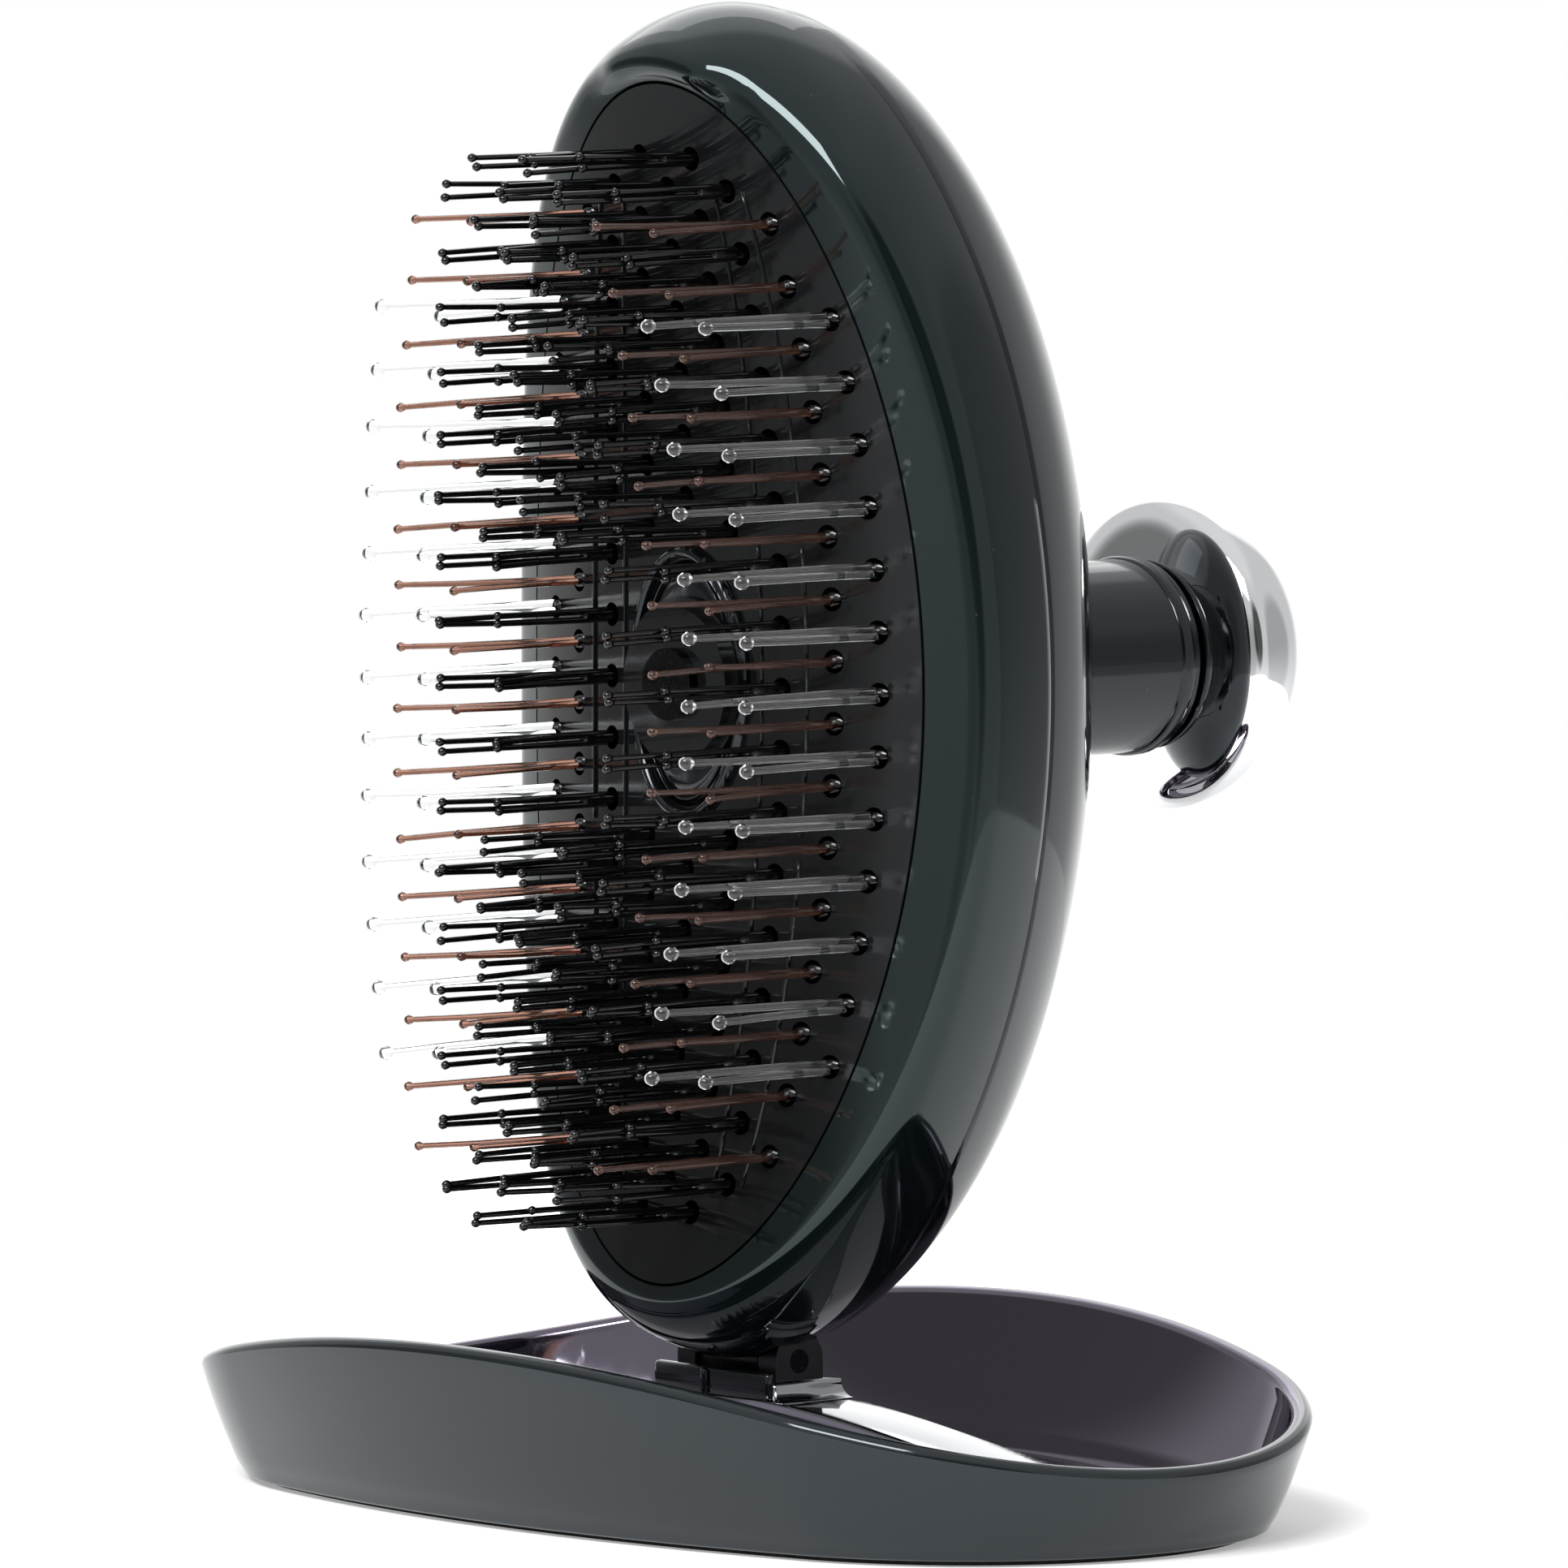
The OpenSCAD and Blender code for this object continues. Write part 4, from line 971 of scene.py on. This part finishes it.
# %% Boss and wire clip
hub_x, hub_y = 6.2, 10.2
hub_turn = full_turn(72)
hub_share = np.array([1.0, 1.0, 0.8, 0.6, 0.4])[:, None]   # of its size, and below the heights there
hub_high = np.array([-under_face, 0.12, 0.16, 0.18, 0.18])[:, None]
x, y = hub_share * hub_x * np.cos(hub_turn), hub_share * hub_y * np.sin(hub_turn)
hub = skin(stand(x, y, face_at(x, y) + hub_high), first_pole=stand(0, 0, face_d - under_face),
           last_pole=stand(0, 0, face_d + hub_high[-1, 0]))
piece("plate_hub", *joined(ridge(6.8, 10.9, wide=1.1, high=0.9), ridge(5.6, 9.6, wide=0.35, high=0.45), hub),
      "ejector", [stem_black], "face_plastic")
clip_x, clip_y, clip_r, clip_wire, clip_lift = 0.4, -4.2, 1.25, 0.3, 0.75
clip_turn = np.radians(np.linspace(60, 310, 19))[:, None]
wire_turn = full_turn(8)
reach = clip_r + clip_wire * np.cos(wire_turn)
clip = stand(clip_x + reach * np.cos(clip_turn), clip_y + reach * np.sin(clip_turn),
             face_at(clip_x, clip_y) + clip_lift + clip_wire * np.sin(wire_turn))
piece("plate_wire_clip", *tube(clip), "ejector", [chrome], "screw_steel")

# %% [markdown]
# ## Finishes for the CAD solids that stay
# The small mechanical parts are right as they are: screws, hinge pins, washers, sleeve, plates.
# Each keeps its mesh and only takes a finish. The finishes read Object coordinates, so their grain
# is in real millimetres on every part. The solids that were drawn anew take their finish too, so
# that no node is left bare.

# %% Finishes on CAD nodes
finish_groups = (
    (foot_rubber, "foot_pad rest_pad"), (mirror_glass, "mirror_plate"), (bezel_chrome, "mirror_bezel"),
    (steel, "arm_pin"), (strap_steel, "arm_strap"), (hinge_satin, "hinge_block hinge_tongue"),
    (zinc, "block_screw tongue_screw carrier_screws"), (black_oxide, "tilt_pin centre_screw"),
    (carrier_satin, "tilt_washers pin_carrier knob_core"), (spring_steel, "return_spring"),
    (stem_black, "guide_sleeve push_stem stop_flange knob_collar"), (face_gloss, "face_plate"),
    (chrome, "knob"), (tray_slate, "tray_shell"), (ring_teal, "front_ring"), (shell_black, "back_shell"),
    (pin_black, "black_pins"), (pin_rose, "rose_pins"), (pin_clear, "clear_pins"))
finish_of = {node: finish for finish, nodes in finish_groups for node in nodes.split()}
for node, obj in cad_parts.items():
    finish = finish_of[node]
    if not obj.material_slots:
        obj.data.materials.append(None)
    for material_slot in obj.material_slots:
        material_slot.link = "OBJECT"
        material_slot.material = finish
print(len(finish_of), "CAD nodes finished")

# %% [markdown]
# ## Surround
# Gloss black shows nothing of its own; it shows the room. So the room is worked out in angles, as
# if one walked round the table: a grey room, a big lit wall behind to the left, white below, and
# dark patches in front, where the camera and whoever works it stand. Each patch is a lobe: a smooth
# step of the angle between a direction and the lobe's middle. Only mirrored rays see this room.
# Skylight on matt surfaces is even, and the eye itself, or a ray through clear plastic, meets
# plain white.

# %% Surround
world = bpy.data.worlds.new("studio_surround")
bpy.context.scene.world = world
world.use_nodes = True
sky = world.node_tree
sky.nodes.clear()
direction = add(sky, "ShaderNodeTexCoord").outputs["Generated"]


def lobe(azimuth, elevation, inner, outer, value):
    """`value` times a smooth step that is 1 within `inner` degrees of a direction and 0 beyond `outer`."""
    a, e = math.radians(azimuth), math.radians(elevation)
    middle = (math.cos(a) * math.cos(e), math.sin(a) * math.cos(e), math.sin(e))
    near = add(sky, "ShaderNodeVectorMath", {0: direction, 1: middle}, operation="DOT_PRODUCT")
    return spread(sky, near.outputs["Value"], 0.0, value, math.cos(math.radians(outer)),
                  math.cos(math.radians(inner)), kind="SMOOTHSTEP")


def seen_directly(tree, rays):
    """1 for what the eye meets itself or through clear plastic, 0 for every other ray."""
    return maths(tree, "MAXIMUM", rays.outputs["Is Camera Ray"], rays.outputs["Is Transmission Ray"])


grey_room, darkest, skylight_level = 0.6, 0.05, 0.42
lobes = (                            # azimuth from +X, elevation, inner, outer, added to the grey
    (-32, 12, 14, 24, -0.52),        # dark: the camera and its stand
    (-135, 0, 22, 34, -0.42),        # dark: front left
    (143, 32, 28, 36, 0.5),          # the lit wall behind, its upper part
    (60, 2, 18, 28, -0.22),          # dimmer: behind to the right
    (-60, 2, 5, 20, -0.25),          # dimmer: low in front
    (0, 90, 34, 52, 0.12),           # ceiling
    (0, -90, 60, 95, 0.5),           # white below
    (145, -3, 15, 45, 0.7))          # the lit wall, its lower part
room = grey_room
for patch in [lobe(*values) for values in lobes]:
    room = maths(sky, "ADD", room, patch)
room = maths(sky, "MAXIMUM", room, darkest)
rays = add(sky, "ShaderNodeLightPath")
skylight = add(sky, "ShaderNodeMix", {0: rays.outputs["Is Glossy Ray"], 2: skylight_level, 3: room},
               data_type="FLOAT").outputs[0]
level = add(sky, "ShaderNodeMix", {0: seen_directly(sky, rays), 2: skylight, 3: 1.0}, data_type="FLOAT")
backdrop = add(sky, "ShaderNodeBackground", {"Color": linear("#FFFFFF"), "Strength": level.outputs[0]})
add(sky, "ShaderNodeOutputWorld", {"Surface": backdrop.outputs["Background"]})
print("surround:", len(lobes), "patches in a room of level", grey_room)

# %% [markdown]
# ## Floor
# The brush stands on a sheet of white paper. A matt sheet alone comes out grey next to a white
# backdrop, so it glows to the eye: under and round the object only about a third as much as from
# 88 mm outwards, where paper and backdrop become one. That dimmer oval round the object is painted
# shade, and the cast shadow stays on top of it. Mirrored rays meet a weak even glow.

# %% Floor
paper_mm = 2.5
glow_start, glow_full, painted_shade_glow = 52 * mm, 88 * mm, 0.32
mirrored_share = 0.35
depth_stretch = 1.35                 # the glow's oval is this much narrower along Y
sheet_r, sheet_sides = 0.32, 96


def floor_finish():
    """Paper: a matt sheet that keeps the shadow, with a glow to the eye that is dimmer round the object as
    painted shade, and a little glow to mirrored rays.
    """
    finish = bpy.data.materials.new("seamless_paper_white")
    finish.use_nodes = True
    tree = finish.node_tree
    tree.nodes.clear()
    place = add(tree, "ShaderNodeTexCoord").outputs["Object"]
    fibre = noise(tree, place, paper_mm, 3.0)
    sheet = add(tree, "ShaderNodeBsdfDiffuse", {"Color": blend_colours(tree, fibre, "#F8F8F8", "#FFFFFF")})
    rays = add(tree, "ShaderNodeLightPath")
    eye = seen_directly(tree, rays)
    mirrored = maths(tree, "MULTIPLY", rays.outputs["Is Glossy Ray"], mirrored_share)
    oval = add(tree, "ShaderNodeVectorMath", {0: place, 1: (1.0, depth_stretch, 0.0)}, operation="MULTIPLY")
    away = add(tree, "ShaderNodeVectorMath", {0: oval.outputs["Vector"]}, operation="LENGTH")
    # the glow to the eye drops to a third in an oval round the object: painted shade there, with the cast
    # shadow on top
    lift = spread(tree, away.outputs["Value"], painted_shade_glow, 1.0, glow_start, glow_full, kind="SMOOTHSTEP")
    strength = maths(tree, "MULTIPLY_ADD", eye, lift, mirrored)
    glow = add(tree, "ShaderNodeEmission", {"Color": linear("#FFFFFF"), "Strength": strength})
    both = add(tree, "ShaderNodeAddShader", {0: sheet.outputs["BSDF"], 1: glow.outputs["Emission"]})
    add(tree, "ShaderNodeOutputMaterial", {"Surface": both.outputs["Shader"]})
    return finish


mesh = bpy.data.meshes.new("floor_sheet")
turn = full_turn(sheet_sides)
disc = np.stack([sheet_r * np.cos(turn), sheet_r * np.sin(turn), 0 * turn], -1)
mesh.from_pydata(disc.tolist(), [], [tuple(range(sheet_sides))])
mesh.materials.append(floor_finish())
floor_sheet = placed("floor_sheet", mesh)
print("floor", round(2 * sheet_r, 2), "m across")

# %% [markdown]
# ## Lights
# Two softboxes, both given by angle and distance like the patches of the room: the main one in
# front of the pins and above them, and a wide dim panel behind to the left, which lifts the edge of
# the dome. Their power follows from the radiance wanted, so a larger box stays as bright to look at.

# %% Lights
def soft_light(name, azimuth, elevation, distance, width, height, radiance):
    """Softbox at an angle and distance in metres from the head, facing it: power = radiance * pi * area."""
    a, e = math.radians(azimuth), math.radians(elevation)
    light = bpy.data.lights.new(name, "AREA")
    light.shape, light.size, light.size_y = "RECTANGLE", width, height
    light.energy = radiance * math.pi * width * height
    obj = placed(name, light)
    obj.location = (distance * math.cos(a) * math.cos(e), distance * math.sin(a) * math.cos(e),
                    head_z * mm + distance * math.sin(e))
    obj.rotation_euler = (math.pi / 2 - e, 0, a + math.pi / 2)
    print(name, "shines at", round(light.energy, 1), "W")


soft_light("front_softbox", -70, 40, distance=1.3, width=0.85, height=0.38, radiance=15.0)
soft_light("back_panel", 143, 36, distance=1.5, width=0.9, height=0.7, radiance=1.0)
bpy.context.scene.view_settings.view_transform = "Standard"
